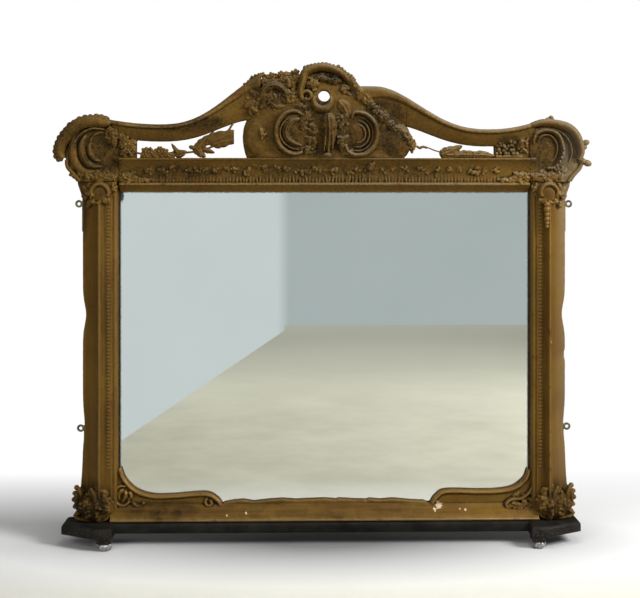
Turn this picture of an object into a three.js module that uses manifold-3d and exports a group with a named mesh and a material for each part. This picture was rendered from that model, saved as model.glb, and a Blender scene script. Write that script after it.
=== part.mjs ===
// A carved and gilded overmantel mirror: a moulded frame standing on a black base, with a
// pierced and swept crest, scrolled ears and flower sprays.
// Millimetres, +Z up. The front faces -Y, the wall is the plane y = 0, and the origin lies
// on the backboard behind the middle of the glass. "Depth" is the distance from the wall.
import * as THREE from "three";
import { mergeVertices } from "three/addons/utils/BufferGeometryUtils.js";
import Module from "manifold-3d";

const wasm = await Module();
wasm.setup();

// Driving dimensions
const SIGHT_HALF = 589; // half the width of the glass that shows
const SIGHT_TOP = 444;
const SIGHT_FOOT = -444;
const STILE_WIDTH = 107;
const STILE_OUTER = SIGHT_HALF + STILE_WIDTH;
const STILE_TOP = 474; // the ears stand on the stiles here
const FRAME_FOOT = -494; // the frame stands on the base here
const TOP_RAIL_TOP = 541;
const CREST_TOP = 817;
const BASE_THICK = 30;
const FOOT_HEIGHT = 35;
const JOINT = 0.15; // half the gap at a joint between two pieces

// Depths from the wall
const GLASS_THICK = 5;
const BOARD_THICK = 8.3;
const REBATE_DEPTH = 14.3; // the frame's front lies over the glass from here
const REBATE_LAP = 8; // how far the frame laps over the edge of the glass
const STILE_EDGE = 22; // thickness at the outer edge
const RIDGE_DEPTH = 68; // the highest line of the stiles
const BEAD_BED = 47; // the bed of the bead row and
const BEAD_TOP = 55; // the top of the beads
const SLIP_DEPTH = 25; // the innermost gilt edge
const CREST_BACK = 12;

// Stile details
const SCOOP_WIDTH = 50; // the hollow between the outer edge and the ridge

// Hanging eyes
const EYE_RADIUS = 11;
const EYE_HOLE_RADIUS = 4.6;
const EYE_THICK = 3;
const EYE_UPPER_Z = 410;
const EYE_LOWER_Z = -238;
const EYE_REACH = 14; // from the stile's outer edge to the middle of the eye
const EYE_SIDES = 6; // steps in each half of the ring

// Crest: each rail dips near its ear and rises to the cartouche, the left one higher
const CREST_DIP_X = 472;
const CREST_PEAK_X = 139;
const CREST_EAR_X = 606;
const CREST_EASE = 1.25;
const CREST = {
  left: { side: -1, dip: 637, rise: 153, ear: 12, swell: 54, gapEnd: 541 },
  right: { side: 1, dip: 624, rise: 123, ear: 22, swell: 34, gapEnd: 489 },
};
const CREST_BAND = 48; // height of a crest rail at its dip
const CARTOUCHE_HALF = 232; // the crest rails meet the cartouche here

// Ears: the middle and the radius of the big scroll
const EAR = { x: 664, z: 560, rim: 80, roll: 12, fringe: 112 };
const EAR_JOINT_X = 590;

// Base
const BASE_MIDDLE_DEPTH = 70;
const BASE_CORNER_DEPTH = 130;
const BASE_HALF = 738;
const CORNER_INNER = 587;
const CORNER_OUTER = 634;
const BASE_X = -9; // the base sits a little to the left
const FOOT_X = 610;
const FOOT_DEPTH = 106;
const FOOT_RADIUS = 21;
const FOOT_BLOCK = 12;

const BASE_UNDERSIDE = FRAME_FOOT - BASE_THICK;
const FLOOR = BASE_UNDERSIDE - FOOT_HEIGHT;

// Materials
const gilt = new THREE.MeshStandardMaterial({ color: 0x6e5631, roughness: 0.5, metalness: 0.55 });
const ebonised = new THREE.MeshStandardMaterial({ color: 0x1c1a18, roughness: 0.5, metalness: 0 });
const silvered = new THREE.MeshStandardMaterial({ color: 0xc9d0cd, roughness: 0.03, metalness: 1 });
const pine = new THREE.MeshStandardMaterial({ color: 0x7a5c3d, roughness: 0.8, metalness: 0 });
const iron = new THREE.MeshStandardMaterial({ color: 0x4a4741, roughness: 0.5, metalness: 0.8 });
const pewter = new THREE.MeshStandardMaterial({ color: 0x8d8a84, roughness: 0.35, metalness: 0.6 });

// Solids
const MERGE_DISTANCE = 1e-3;

function solidOf(geometry) {
  const bare = geometry.clone();
  bare.deleteAttribute("normal");
  bare.deleteAttribute("uv");
  const merged = mergeVertices(bare, MERGE_DISTANCE);
  const vertProperties = merged.attributes.position.array;
  const triVerts = new Uint32Array(merged.index.array);
  if (volumeOf(vertProperties, triVerts) < 0) {
    triVerts.reverse();
  }
  return new wasm.Manifold(new wasm.Mesh({ numProp: 3, vertProperties, triVerts }));
}

// The volume inside a closed mesh, which is negative while its faces point inwards
function volumeOf(positions, corners) {
  const corner = (i) => new THREE.Vector3().fromArray(positions, 3 * corners[i]);
  let volume = 0;
  for (let i = 0; i < corners.length; i += 3) {
    volume += corner(i).dot(corner(i + 1).cross(corner(i + 2))) / 6;
  }
  return volume;
}

function meshOf(name, solid, material) {
  const made = solid.getMesh();
  const geometry = new THREE.BufferGeometry();
  geometry.setAttribute("position", new THREE.BufferAttribute(made.vertProperties, 3));
  geometry.setIndex(new THREE.BufferAttribute(made.triVerts, 1));
  geometry.computeVertexNormals();
  const mesh = new THREE.Mesh(geometry, material);
  mesh.name = name;
  return mesh;
}

function join(solids) {
  return solids.reduce((whole, next) => whole.add(next));
}

// Moves each vertex of a geometry to where place(x, y, z) says
function warp(geometry, place) {
  const position = geometry.getAttribute("position");
  for (let i = 0; i < position.count; i += 1) {
    const point = place(position.getX(i), position.getY(i), position.getZ(i));
    position.setXYZ(i, point.x, point.y, point.z);
  }
  return geometry;
}

// A point given across, up and by its depth from the wall
function at(x, z, depth) {
  return new THREE.Vector3(x, -depth, z);
}

function block(x0, x1, z0, z1, depth0, depth1) {
  const geometry = new THREE.BoxGeometry(Math.abs(x1 - x0), depth1 - depth0, z1 - z0);
  geometry.translate((x0 + x1) / 2, -(depth0 + depth1) / 2, (z0 + z1) / 2);
  return solidOf(geometry);
}

// A flat plate cut to an outline in the plane of the wall
function plate(outline, depth0, depth1, curveSegments = 6) {
  const options = { depth: depth1 - depth0, bevelEnabled: false, curveSegments };
  const geometry = new THREE.ExtrudeGeometry(outline, options);
  return solidOf(warp(geometry, (x, z, d) => at(x, z, depth0 + d)));
}

function outlineOf(points) {
  return new THREE.Shape(points.map(([x, z]) => new THREE.Vector2(x, z)));
}

// Carving: a section follows a path in the plane of the wall
const ROLL = outlineOf([[-1, -0.6], [1, -0.6], [0.7, 0.7], [0, 1], [-0.7, 0.7]]);
const BLADE = outlineOf([[-1, -0.6], [1, -0.6], [0.4, 1], [-0.4, 1]]);
const RIB = outlineOf([[-1, -0.5], [1, -0.5], [0, 1]]);

// width, rise and ground say how wide, how high and how deep the section is along the path
function carve(section, path, steps, width, rise, ground) {
  const options = { depth: 1, steps, bevelEnabled: false };
  const geometry = new THREE.ExtrudeGeometry(section, options);
  const place = (across, up, along) => {
    const point = path.getPoint(along);
    const tangent = path.getTangent(along);
    const reach = across * width(along);
    return at(
      point.x - tangent.y * reach,
      point.y + tangent.x * reach,
      ground(along) + up * rise(along),
    );
  };
  return solidOf(warp(geometry, place));
}

class Spiral extends THREE.Curve {
  constructor(side, x, z, radii, angles) {
    super();
    Object.assign(this, { side, x, z, radii, angles });
  }

  getPoint(t, target = new THREE.Vector2()) {
    const angle = THREE.MathUtils.degToRad(THREE.MathUtils.lerp(...this.angles, t));
    const radius = THREE.MathUtils.lerp(...this.radii, t);
    return target.set(
      this.side * (this.x + radius * Math.cos(angle)),
      this.z + radius * Math.sin(angle),
    );
  }
}

const constant = (value) => () => value;
const swell = (ends, middle) => (t) => ends + (middle - ends) * Math.sin(Math.PI * t);

function spline(side, points) {
  return new THREE.SplineCurve(points.map(([x, z]) => new THREE.Vector2(side * x, z)));
}

// A rounded scroll that thins towards both ends
function scroll(path, steps, thick, rise, depth) {
  return carve(ROLL, path, steps, swell(0.45 * thick, thick), swell(0.5 * rise, rise), constant(depth));
}

// A leaf with lobes along its edge, its tip curling forward or back
function leaf(path, width, rise, depth, { lobes = 2, curl = 0, steps = 3 } = {}) {
  const outline = (t) => Math.sin(Math.PI * (0.08 + 0.88 * t ** 0.8));
  const notch = (t) => 0.78 + 0.22 * Math.cos(2 * Math.PI * lobes * t);
  return carve(
    BLADE,
    path,
    steps,
    (t) => width * outline(t) * notch(t),
    (t) => rise * (0.35 + 0.65 * outline(t)),
    (t) => depth + curl * t * t,
  );
}

function flower(x, z, depth, radius, petals = 4) {
  const petalWave = 0.22;
  const geometry = new THREE.SphereGeometry(1, petals * 2, 2);
  geometry.rotateX(Math.PI);
  const place = (px, py, pz) => {
    const wave = 1 + petalWave * Math.cos(petals * Math.atan2(pz, px));
    return at(x + radius * wave * px, z + radius * wave * pz, depth - 0.75 * radius * py);
  };
  return solidOf(warp(geometry, place));
}

function berry(x, z, depth, radius) {
  const geometry = new THREE.OctahedronGeometry(radius);
  geometry.translate(x, -depth, z);
  return solidOf(geometry);
}

// Frame: stiles
const WAISTS = [
  { z: 92, width: 40, shift: -9 },
  { z: -228, width: 48, shift: -5 },
  { z: FRAME_FOOT, width: 110, shift: 12 },
  { z: STILE_TOP, width: 34, shift: 15 },
];

// How far the outer edge of a stile stands out of its straight line at a height
function outerShift(z) {
  return WAISTS.reduce((sum, w) => sum + w.shift * Math.exp(-(((z - w.z) / w.width) ** 2)), 0);
}

function stileScoop(side) {
  const steps = 16;
  const profile = new THREE.Shape();
  profile.moveTo(0, 0);
  profile.lineTo(0, STILE_EDGE);
  profile.bezierCurveTo(22, STILE_EDGE + 4, 40, STILE_EDGE + 16, SCOOP_WIDTH, RIDGE_DEPTH);
  profile.lineTo(SCOOP_WIDTH, 0);
  const options = { depth: 1, steps, bevelEnabled: false, curveSegments: 3 };
  const geometry = new THREE.ExtrudeGeometry(profile, options);
  const place = (across, depth, along) => {
    const z = THREE.MathUtils.lerp(FRAME_FOOT + JOINT, STILE_TOP - JOINT, along);
    const shift = outerShift(z) * (1 - across / SCOOP_WIDTH);
    return at(-side * (across - STILE_OUTER - shift), z, depth);
  };
  return solidOf(warp(geometry, place));
}

function stileMoulding(side) {
  const inner = STILE_WIDTH;
  const lap = inner - REBATE_LAP;
  const profile = new THREE.Shape();
  profile.moveTo(SCOOP_WIDTH - 1, 0);
  profile.lineTo(SCOOP_WIDTH - 1, RIDGE_DEPTH - 2);
  profile.quadraticCurveTo(SCOOP_WIDTH + 4, RIDGE_DEPTH + 3, SCOOP_WIDTH + 9, RIDGE_DEPTH - 1);
  profile.lineTo(SCOOP_WIDTH + 9, RIDGE_DEPTH - 8);
  profile.quadraticCurveTo(67, BEAD_BED + 2, 69, BEAD_BED);
  profile.bezierCurveTo(70, BEAD_TOP, 84, BEAD_TOP, 85, BEAD_BED);
  profile.lineTo(85, BEAD_BED - 6);
  profile.lineTo(inner - 4, SLIP_DEPTH);
  profile.lineTo(inner, SLIP_DEPTH - 1);
  profile.lineTo(inner, REBATE_DEPTH);
  profile.lineTo(lap, REBATE_DEPTH);
  profile.lineTo(lap, 0);
  const length = STILE_TOP - FRAME_FOOT - 2 * JOINT;
  const options = { depth: length, bevelEnabled: false, curveSegments: 3 };
  const geometry = new THREE.ExtrudeGeometry(profile, options);
  const place = (across, depth, along) =>
    at(side * (STILE_OUTER - across), FRAME_FOOT + JOINT + along, depth);
  return solidOf(warp(geometry, place));
}

// The arch over a boss and the drop of husks at the head of a stile
function headDrop(side) {
  const x = STILE_OUTER - SCOOP_WIDTH - 7;
  const arch = spline(side, [[x - 20, 414], [x - 22, 440], [x, 462], [x + 22, 440], [x + 20, 414]]);
  const husk = spline(side, [[x, 396], [x - 1, 366], [x, 338]]);
  return [
    carve(ROLL, arch, 7, constant(6), constant(9), constant(RIDGE_DEPTH - 2)),
    flower(side * x, 437, RIDGE_DEPTH + 2, 12, 6),
    flower(side * x, 404, RIDGE_DEPTH - 1, 12),
    leaf(husk, 11, 9, RIDGE_DEPTH - 4),
  ];
}

// The mass of leaves that clasps the foot of a stile, over a plain lip
function footClasp(side) {
  const depth = RIDGE_DEPTH - 3;
  const stem = FRAME_FOOT + 16;
  const blades = [
    { path: [[650, stem], [656, -442], [654, -400]], width: 22, sink: 0, curl: 2 },
    { path: [[668, stem], [690, -445], [710, -394]], width: 20, sink: 12, curl: -14 },
    { path: [[634, stem], [624, -446], [620, -404]], width: 18, sink: 4, curl: -8 },
    { path: [[670, stem], [704, -470], [718, -446]], width: 14, sink: 16, curl: -14 },
  ];
  const leaves = blades.map(({ path, width, sink, curl }) =>
    leaf(spline(side, path), width, 17, depth - sink, { curl }),
  );
  const lip = spline(side, [[712, -474], [690, -485], [655, -487], [625, -484], [614, -470]]);
  return [...leaves, carve(ROLL, lip, 5, constant(6.5), constant(20), constant(depth - 6))];
}

// The pocket in the back of a stile that an eye plate is let into
function eyePocket(side, z) {
  const clear = 0.4;
  const tail = eyeTail(z);
  return block(
    side * (tail.inner - clear),
    side * (STILE_OUTER + 40),
    tail.low - clear,
    tail.high + clear,
    -1,
    EYE_THICK + clear,
  );
}

// The foot of a stile is notched for the end of the bottom rail
const NOTCH_X = 612;
const NOTCH_Z = -346;

function stile(side) {
  const eyes = [EYE_UPPER_Z, EYE_LOWER_Z].map((z) => eyePocket(side, z));
  const notch = block(side * 500, side * (NOTCH_X + JOINT), FRAME_FOOT - 50, NOTCH_Z + JOINT, -10, 200);
  const cell = block(side * 500, side * 800, FRAME_FOOT + JOINT, STILE_TOP - JOINT, 0, 200);
  const pieces = [
    stileScoop(side),
    stileMoulding(side),
    ...headDrop(side),
    ...footClasp(side),
  ];
  return join(pieces).subtract(join([...eyes, notch])).intersect(cell);
}

// Frame: top rail, a plain slip and fillet under a hollow with a row of upright leaves
const LEAF_PITCH = 33;
const LEAF_ROW_HALF = 512;
const LEAF_RISE = 6;
const FRIEZE_DEPTH = 33;

function topRailBody(half) {
  const top = TOP_RAIL_TOP - JOINT;
  const profile = new THREE.Shape();
  profile.moveTo(SIGHT_TOP, REBATE_DEPTH);
  profile.lineTo(SIGHT_TOP, SLIP_DEPTH);
  profile.lineTo(462, 40);
  profile.lineTo(463, 45);
  profile.lineTo(469, 45);
  profile.lineTo(470, FRIEZE_DEPTH);
  profile.lineTo(505, FRIEZE_DEPTH + 4);
  profile.lineTo(top - 9, 54);
  profile.lineTo(top - 7, 61);
  profile.lineTo(top, 61);
  profile.lineTo(top, 0);
  profile.lineTo(SIGHT_TOP + REBATE_LAP, 0);
  profile.lineTo(SIGHT_TOP + REBATE_LAP, REBATE_DEPTH);
  const options = { depth: 2 * half, bevelEnabled: false };
  const geometry = new THREE.ExtrudeGeometry(profile, options);
  return solidOf(warp(geometry, (z, depth, along) => at(along - half, z, depth)));
}

// Each leaf is a fold that stands out of the hollow, every second one shorter
function leafRow() {
  const leaves = Math.round((2 * LEAF_ROW_HALF) / LEAF_PITCH);
  const profile = outlineOf([[472, 20], [472, 36], [505, 41], [527, 54], [527, 20]]);
  const options = { depth: 1, steps: 2 * leaves, bevelEnabled: false };
  const geometry = new THREE.ExtrudeGeometry(profile, options);
  const place = (z, depth, along) => {
    const beat = Math.round(along * 2 * leaves);
    const crown = beat % 2 && depth > 30 ? LEAF_RISE : 0;
    const short = beat % 4 === 3 && z > 510 ? 10 : 0;
    return at(LEAF_ROW_HALF * (2 * along - 1), z - short, depth + crown);
  };
  return solidOf(warp(geometry, place));
}

function topRail() {
  const half = SIGHT_HALF - JOINT;
  const sprays = [-1, 1].flatMap((side) => [
    flower(side * 548, 484, 42, 13),
    flower(side * 572, 492, 42, 11),
    leaf(spline(side, [[560, 498], [548, 514], [528, 520]]), 11, 8, 44),
  ]);
  const cell = block(-half, half, 400, TOP_RAIL_TOP - JOINT, 0, 200);
  return join([topRailBody(half), leafRow(), ...sprays]).intersect(cell);
}

// Frame: bottom rail, with the corner spandrels, their roll and the worn middle edge
const SPANDREL = {
  left: [
    [591, -349], [576, -384], [545, -414], [500, -430],
    [440, -431], [345, -425], [312, -440], [300, -456],
  ],
  right: [
    [591, -358], [578, -388], [546, -412], [500, -421],
    [440, -422], [350, -421], [322, -436], [309, -454],
  ],
};
const WORN_EDGE = [[290, -450], [255, -445], [200, -449], [140, -443], [70, -447], [0, -443]];

function bottomRail() {
  const half = NOTCH_X - JOINT;
  const foot = FRAME_FOOT + JOINT;
  const profile = new THREE.Shape();
  profile.moveTo(foot, 0);
  profile.lineTo(foot, 66);
  profile.lineTo(foot + 6, 67);
  profile.lineTo(foot + 8, 62);
  profile.bezierCurveTo(foot + 22, 62, foot + 28, 34, SIGHT_FOOT - 12, 30);
  profile.lineTo(SIGHT_FOOT - 12, REBATE_DEPTH);
  profile.lineTo(SIGHT_FOOT - REBATE_LAP - 5, REBATE_DEPTH);
  profile.lineTo(SIGHT_FOOT - REBATE_LAP - 5, 0);
  const geometry = new THREE.ExtrudeGeometry(profile, {
    depth: 2 * half,
    bevelEnabled: false,
    curveSegments: 4,
  });
  const body = solidOf(warp(geometry, (z, depth, along) => at(half - along, z, depth)));
  const lowEdge = SIGHT_FOOT - 22;
  const pieces = [body];
  for (const [name, side] of [["left", -1], ["right", 1]]) {
    const edge = SPANDREL[name];
    const outline = outlineOf([
      ...spline(side, edge).getPoints(10).map((p) => [p.x, p.y]),
      [side * 280, lowEdge],
      [side * half, lowEdge],
      [side * half, edge[0][1]],
    ]);
    pieces.push(plate(outline, REBATE_DEPTH, SLIP_DEPTH + 4));
    const roll = carve(ROLL, spline(side, edge), 10, constant(5.5), constant(9), constant(SLIP_DEPTH));
    const shell = new Spiral(side, 584, -437, [24, 14], [100, 330]);
    pieces.push(roll, scroll(shell, 8, 6, 14, SLIP_DEPTH), flower(side * 584, -437, SLIP_DEPTH + 5, 11));
    pieces.push(leaf(spline(side, [[566, -458], [545, -462], [515, -456]]), 12, 10, 30));
  }
  const worn = [...WORN_EDGE.map(([x, z]) => [-x, z]), ...WORN_EDGE.toReversed()];
  const middle = outlineOf([[-300, lowEdge], ...worn, [300, lowEdge]]);
  pieces.push(plate(middle, REBATE_DEPTH, SLIP_DEPTH + 3));
  const cell = block(-half, half, foot, NOTCH_Z - JOINT, 0, 200);
  const sight = block(-SIGHT_HALF - REBATE_LAP, SIGHT_HALF + REBATE_LAP, -452.5, 0, -10, REBATE_DEPTH);
  return join(pieces).intersect(cell).subtract(sight);
}

// Crest rails
function crestTop({ side, dip, rise, ear }, x) {
  const reach = side * x;
  if (reach > CREST_DIP_X) {
    return dip + ear * ((reach - CREST_DIP_X) / (CREST_EAR_X - CREST_DIP_X)) ** 2;
  }
  const way = Math.min(1, (CREST_DIP_X - reach) / (CREST_DIP_X - CREST_PEAK_X));
  return dip + (rise * (1 - Math.cos(Math.PI * way ** CREST_EASE))) / 2;
}

function crestBand({ side, swell: growth }, x) {
  const way = Math.max(0, (CREST_DIP_X - side * x) / (CREST_DIP_X - CARTOUCHE_HALF));
  return CREST_BAND + growth * way ** 2.5;
}

// A stretch of crest moulding: a roll along the top and a plain falling band below
function crestMoulding(rail, from, to, steps) {
  const profile = new THREE.Shape();
  profile.moveTo(0, CREST_BACK);
  profile.lineTo(0, 48);
  profile.quadraticCurveTo(0.02, 64, 0.14, 64);
  profile.quadraticCurveTo(0.26, 64, 0.3, 54);
  profile.quadraticCurveTo(0.62, 52, 1, 38);
  profile.lineTo(1, CREST_BACK);
  const geometry = new THREE.ExtrudeGeometry(profile, {
    depth: 1,
    steps,
    bevelEnabled: false,
    curveSegments: 3,
  });
  const place = (down, depth, along) => {
    const x = rail.side * THREE.MathUtils.lerp(from, to, along);
    return at(x, crestTop(rail, x) - down * crestBand(rail, x), depth);
  };
  return solidOf(warp(geometry, place));
}

function crestRail(rail, fruits) {
  const { side, gapEnd } = rail;
  const ear = EAR_JOINT_X - JOINT;
  const x = side * (gapEnd + 30);
  const webTop = crestTop(rail, x) - 0.7 * crestBand(rail, x);
  const web = block(side * gapEnd, side * ear, TOP_RAIL_TOP + JOINT, webTop, CREST_BACK, 38);
  const cell = block(side * (CARTOUCHE_HALF + JOINT), side * ear, TOP_RAIL_TOP + JOINT, 800, 0, 200);
  return join([crestMoulding(rail, ear, CARTOUCHE_HALF + JOINT, 12), web, ...fruits]).intersect(cell);
}

function flowerCluster() {
  const blooms = [[-582, 602, 15], [-562, 584, 16], [-570, 562, 14]];
  return blooms.map(([x, z, radius]) => flower(x, z, 44, radius));
}

function grapeCluster() {
  const grapes = [];
  for (let row = 0; row < 3; row += 1) {
    for (let i = 0; i < 4 - (row % 2); i += 1) {
      grapes.push(berry(496 + 15 * i + 7 * (row % 2), 560 + 15 * row, 44, 9.5));
    }
  }
  return [...grapes, leaf(spline(1, [[548, 578], [566, 596], [580, 604]]), 12, 12, 40)];
}

// Ears
function earOutline(side) {
  const outline = new THREE.Shape();
  const arc = new Spiral(side, EAR.x, EAR.z, [EAR.rim, EAR.rim], [100, -20]);
  outline.moveTo(side * EAR_JOINT_X, STILE_TOP);
  outline.lineTo(side * EAR_JOINT_X, EAR.z + EAR.rim);
  arc.getPoints(12).forEach((p) => outline.lineTo(p.x, p.y));
  outline.quadraticCurveTo(side * 736, 512, side * 710, STILE_TOP);
  return outline;
}

// A serrated edge outside a path: a flat strip whose rim goes in and out
function serration(path, teeth, inner, outer, depth0, depth1) {
  const rim = [];
  for (let i = 0; i <= 2 * teeth; i += 1) {
    const t = i / (2 * teeth);
    const point = path.getPoint(t);
    const along = path.getTangent(t);
    const reach = i % 2 ? outer : inner;
    rim.push([point.x - along.y * reach, point.y + along.x * reach]);
  }
  const foot = path.getPoints(6).map((point) => [point.x, point.y]).toReversed();
  return plate(outlineOf([...rim, ...foot]), depth0, depth1);
}

// The fringe is whole on the left ear; only stumps of it are left on the right one
function earFringe(side) {
  const { x, z, rim, fringe } = EAR;
  if (side < 0) {
    const edge = new Spiral(side, x, z, [rim, rim], [100, -24]);
    return [serration(edge, 11, 18 * side, (fringe - rim) * side, 28, 48)];
  }
  return [88, 12, -22].map((degrees) => {
    const angle = THREE.MathUtils.degToRad(degrees);
    const reach = rim + 14;
    return berry(side * (x + reach * Math.cos(angle)), z + reach * Math.sin(angle), 44, 14);
  });
}

function ear(side) {
  const { x, z, rim, roll } = EAR;
  const ground = plate(earOutline(side), CREST_BACK, 44);
  const rimRoll = new Spiral(side, x, z, [rim + 2, rim - 2], [102, -26]);
  const pieces = [ground, carve(ROLL, rimRoll, 10, swell(9, roll), swell(14, 24), constant(46))];
  const eye = [636, 574];
  pieces.push(scroll(new Spiral(side, ...eye, [46, 40], [190, -62]), 9, 8, 20, 44));
  if (side > 0) {
    pieces.push(flower(eye[0], eye[1], 46, 24, 6));
  }
  for (let i = 0; i < 2; i += 1) {
    const rib = new Spiral(side, eye[0] + 4, eye[1] - 2, [60 + 14 * i, 52 + 14 * i], [16 - 10 * i, -88]);
    pieces.push(carve(RIB, rib, 6, swell(3, 9), swell(5, 18), constant(43)));
  }
  const bracket = leaf(spline(side, [[650, 520], [690, 512], [726, 500]]), 18, 16, 42);
  const root = leaf(spline(side, [[606, 480], [640, 494], [684, 484]]), 16, 14, 43);
  const cell = block(side * (EAR_JOINT_X + JOINT), side * 850, STILE_TOP + JOINT, 700, 0, 200);
  return join([...pieces, bracket, root, ...earFringe(side)]).intersect(cell);
}

// Cartouche
const HOLE = { x: -3, z: 719, radius: 17 };

function cartoucheGround() {
  const outline = new THREE.Shape();
  outline.moveTo(-225, TOP_RAIL_TOP + JOINT);
  outline.bezierCurveTo(-239, 580, -241, 630, -222, 654);
  outline.lineTo(-CARTOUCHE_HALF, 690);
  outline.lineTo(-CARTOUCHE_HALF, 740);
  outline.bezierCurveTo(-180, 790, -110, 765, -86, 770);
  outline.bezierCurveTo(-60, 795, 60, 810, 86, 735);
  outline.lineTo(CARTOUCHE_HALF, 690);
  outline.lineTo(CARTOUCHE_HALF, 640);
  outline.bezierCurveTo(258, 606, 258, 570, 228, TOP_RAIL_TOP + JOINT);
  const dome = new THREE.SphereGeometry(1, 10, 4);
  dome.rotateX(Math.PI / 2);
  dome.scale(300, 48, 300);
  dome.translate(0, -CREST_BACK, 610);
  const bulge = solidOf(dome).intersect(plate(outline, CREST_BACK, 100));
  return bulge.add(plate(outline, CREST_BACK, 34));
}

function topScroll() {
  const path = spline(1, [[-56, 703], [-68, 734], [-60, 780], [-23, 800], [10, 799], [44, 786], [77, 747]]);
  const edge = spline(1, [[-44, 795], [-20, 801], [10, 800], [44, 787], [68, 762]]);
  return [
    carve(ROLL, path, 10, swell(6, 13), swell(16, 30), constant(52)),
    serration(edge, 7, 9, 15, 40, 66),
  ];
}

function bigScroll(side, x, z, radius) {
  const inner = new Spiral(side, x - 2, z - 2, [radius - 17, radius - 24], [130, -100]);
  return [
    scroll(new Spiral(side, x, z, [radius, radius - 6], [120, -80]), 8, 8, 26, 58),
    carve(RIB, inner, 6, constant(6), swell(10, 22), constant(56)),
    leaf(spline(side, [[x - 34, z + 46], [x - 14, z + 24], [x - 22, z - 6]]), 15, 16, 58),
    berry(side * (x + 2), z - 4, 58, 15),
  ];
}

function cartouche() {
  const { x, z, radius } = HOLE;
  const cup = new Spiral(1, x - 5, z - 15, [25, 24], [150, 385]);
  const centre = spline(1, [[6, 662], [10, 600], [8, 544]]);
  const pieces = [
    cartoucheGround(),
    crestMoulding(CREST.left, CARTOUCHE_HALF, 190, 2),
    crestMoulding(CREST.right, CARTOUCHE_HALF, 98, 5),
    ...topScroll(),
    ...bigScroll(-1, 84, 611, 58),
    ...bigScroll(1, 88, 609, 58),
    carve(ROLL, cup, 8, swell(6, 10), swell(14, 26), constant(56)),
    leaf(centre, 30, 26, 60, { lobes: 3, curl: 10, steps: 6 }),
    leaf(spline(1, [[0, 655], [-26, 640], [-40, 608]]), 14, 20, 60),
    leaf(spline(1, [[6, 655], [34, 640], [42, 604]]), 14, 20, 60),
    leaf(spline(1, [[-196, 630], [-180, 616], [-172, 592]]), 16, 14, 44),
    leaf(spline(1, [[-168, 722], [-140, 748], [-112, 716]]), 14, 18, 50),
    leaf(spline(1, [[-226, 700], [-200, 720], [-176, 706]]), 14, 14, 44),
  ];
  const shoulder = [[-196, 764, 18], [-158, 770, 19], [-116, 771, 17]];
  shoulder.forEach(([px, pz, r]) => pieces.push(flower(px, pz, 46, r)));
  const sprig = spline(1, [[88, 742], [122, 704], [168, 662], [210, 624], [240, 588]]);
  const blooms = 5;
  for (let i = 0; i < blooms; i += 1) {
    const p = sprig.getPoint(i / (blooms - 1));
    pieces.push(flower(p.x, p.y, 52 - 3 * i, i % 2 ? 13 : 18));
  }
  const bore = new THREE.CylinderGeometry(radius, radius, 300, 10);
  bore.translate(x, 0, z);
  const upper = block(-CARTOUCHE_HALF + JOINT, CARTOUCHE_HALF - JOINT, 620, CREST_TOP, 0, 200);
  const lower = block(-262, 262, TOP_RAIL_TOP + JOINT, 625, 0, 200);
  return join(pieces).intersect(upper.add(lower)).subtract(solidOf(bore));
}

// Sprays of flowers on stems that cross the openings of the crest
function leftSpray() {
  const floor = TOP_RAIL_TOP + JOINT;
  const tip = -264;
  const hook = crestTop(CREST.left, tip) - crestBand(CREST.left, tip) - 2.6;
  const rise = [[-540.5, 556], [-500, 549], [-440, 548], [-400, 556], [-350, 564], [-300, 588]];
  const stem = spline(1, [...rise, [tip, hook]]);
  const blooms = [[-512, 552, 16], [-484, 553, 16], [-455, 551, 15]];
  const blades = [
    { path: [[-416, 552], [-426, 562], [-438, 580]], width: 8 },
    { path: [[-430, 550], [-414, 556], [-396, 560]], width: 10 },
    { path: [[-372, 574], [-362, 560], [-354, 544]], width: 15 },
    { path: [[-372, 566], [-352, 584], [-334, 606]], width: 15 },
    { path: [[-334, 584], [-298, 597], [-246, 612]], width: 20 },
    { path: [[-320, 578], [-290, 588], [-240, 590]], width: 17 },
  ];
  const pieces = [
    carve(RIB, stem, 10, constant(3.6), constant(6), constant(40)),
    ...blooms.map(([x, z, r]) => flower(x, z, 44, r)),
    ...blades.map(({ path, width }) => leaf(spline(1, path), width, 9, 40)),
  ];
  const cell = block(-540.7, -261, floor, hook + 0.2, 0, 200);
  return join(pieces).intersect(cell);
}

// What is left of the right spray: a stub of twisted wire and leaves that lie along the rail
function rightSpray() {
  const floor = TOP_RAIL_TOP + JOINT;
  const end = CREST.right.gapEnd - JOINT;
  const stub = spline(1, [[263, 575], [277, 571], [293, 572]]);
  const wire = spline(1, [[286, 572], [310, 564], [338, 557]]);
  const blades = [
    { path: [[328, 549], [354, 559], [393, 575]], width: 17 },
    { path: [[332, 553], [360, 550], [398, 547]], width: 18 },
    { path: [[376, 551], [408, 551], [450, 549]], width: 14 },
    { path: [[424, 549], [452, 550], [488, 547]], width: 14 },
  ];
  const pieces = [
    carve(RIB, stub, 4, constant(4), constant(6), constant(40)),
    carve(RIB, wire, 4, constant(2.4), constant(5), constant(40)),
    ...blades.map(({ path, width }) => leaf(spline(1, path), width, 12, 41)),
  ];
  return join(pieces).intersect(block(262.3, end, floor, 620, 0, 200));
}

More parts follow.
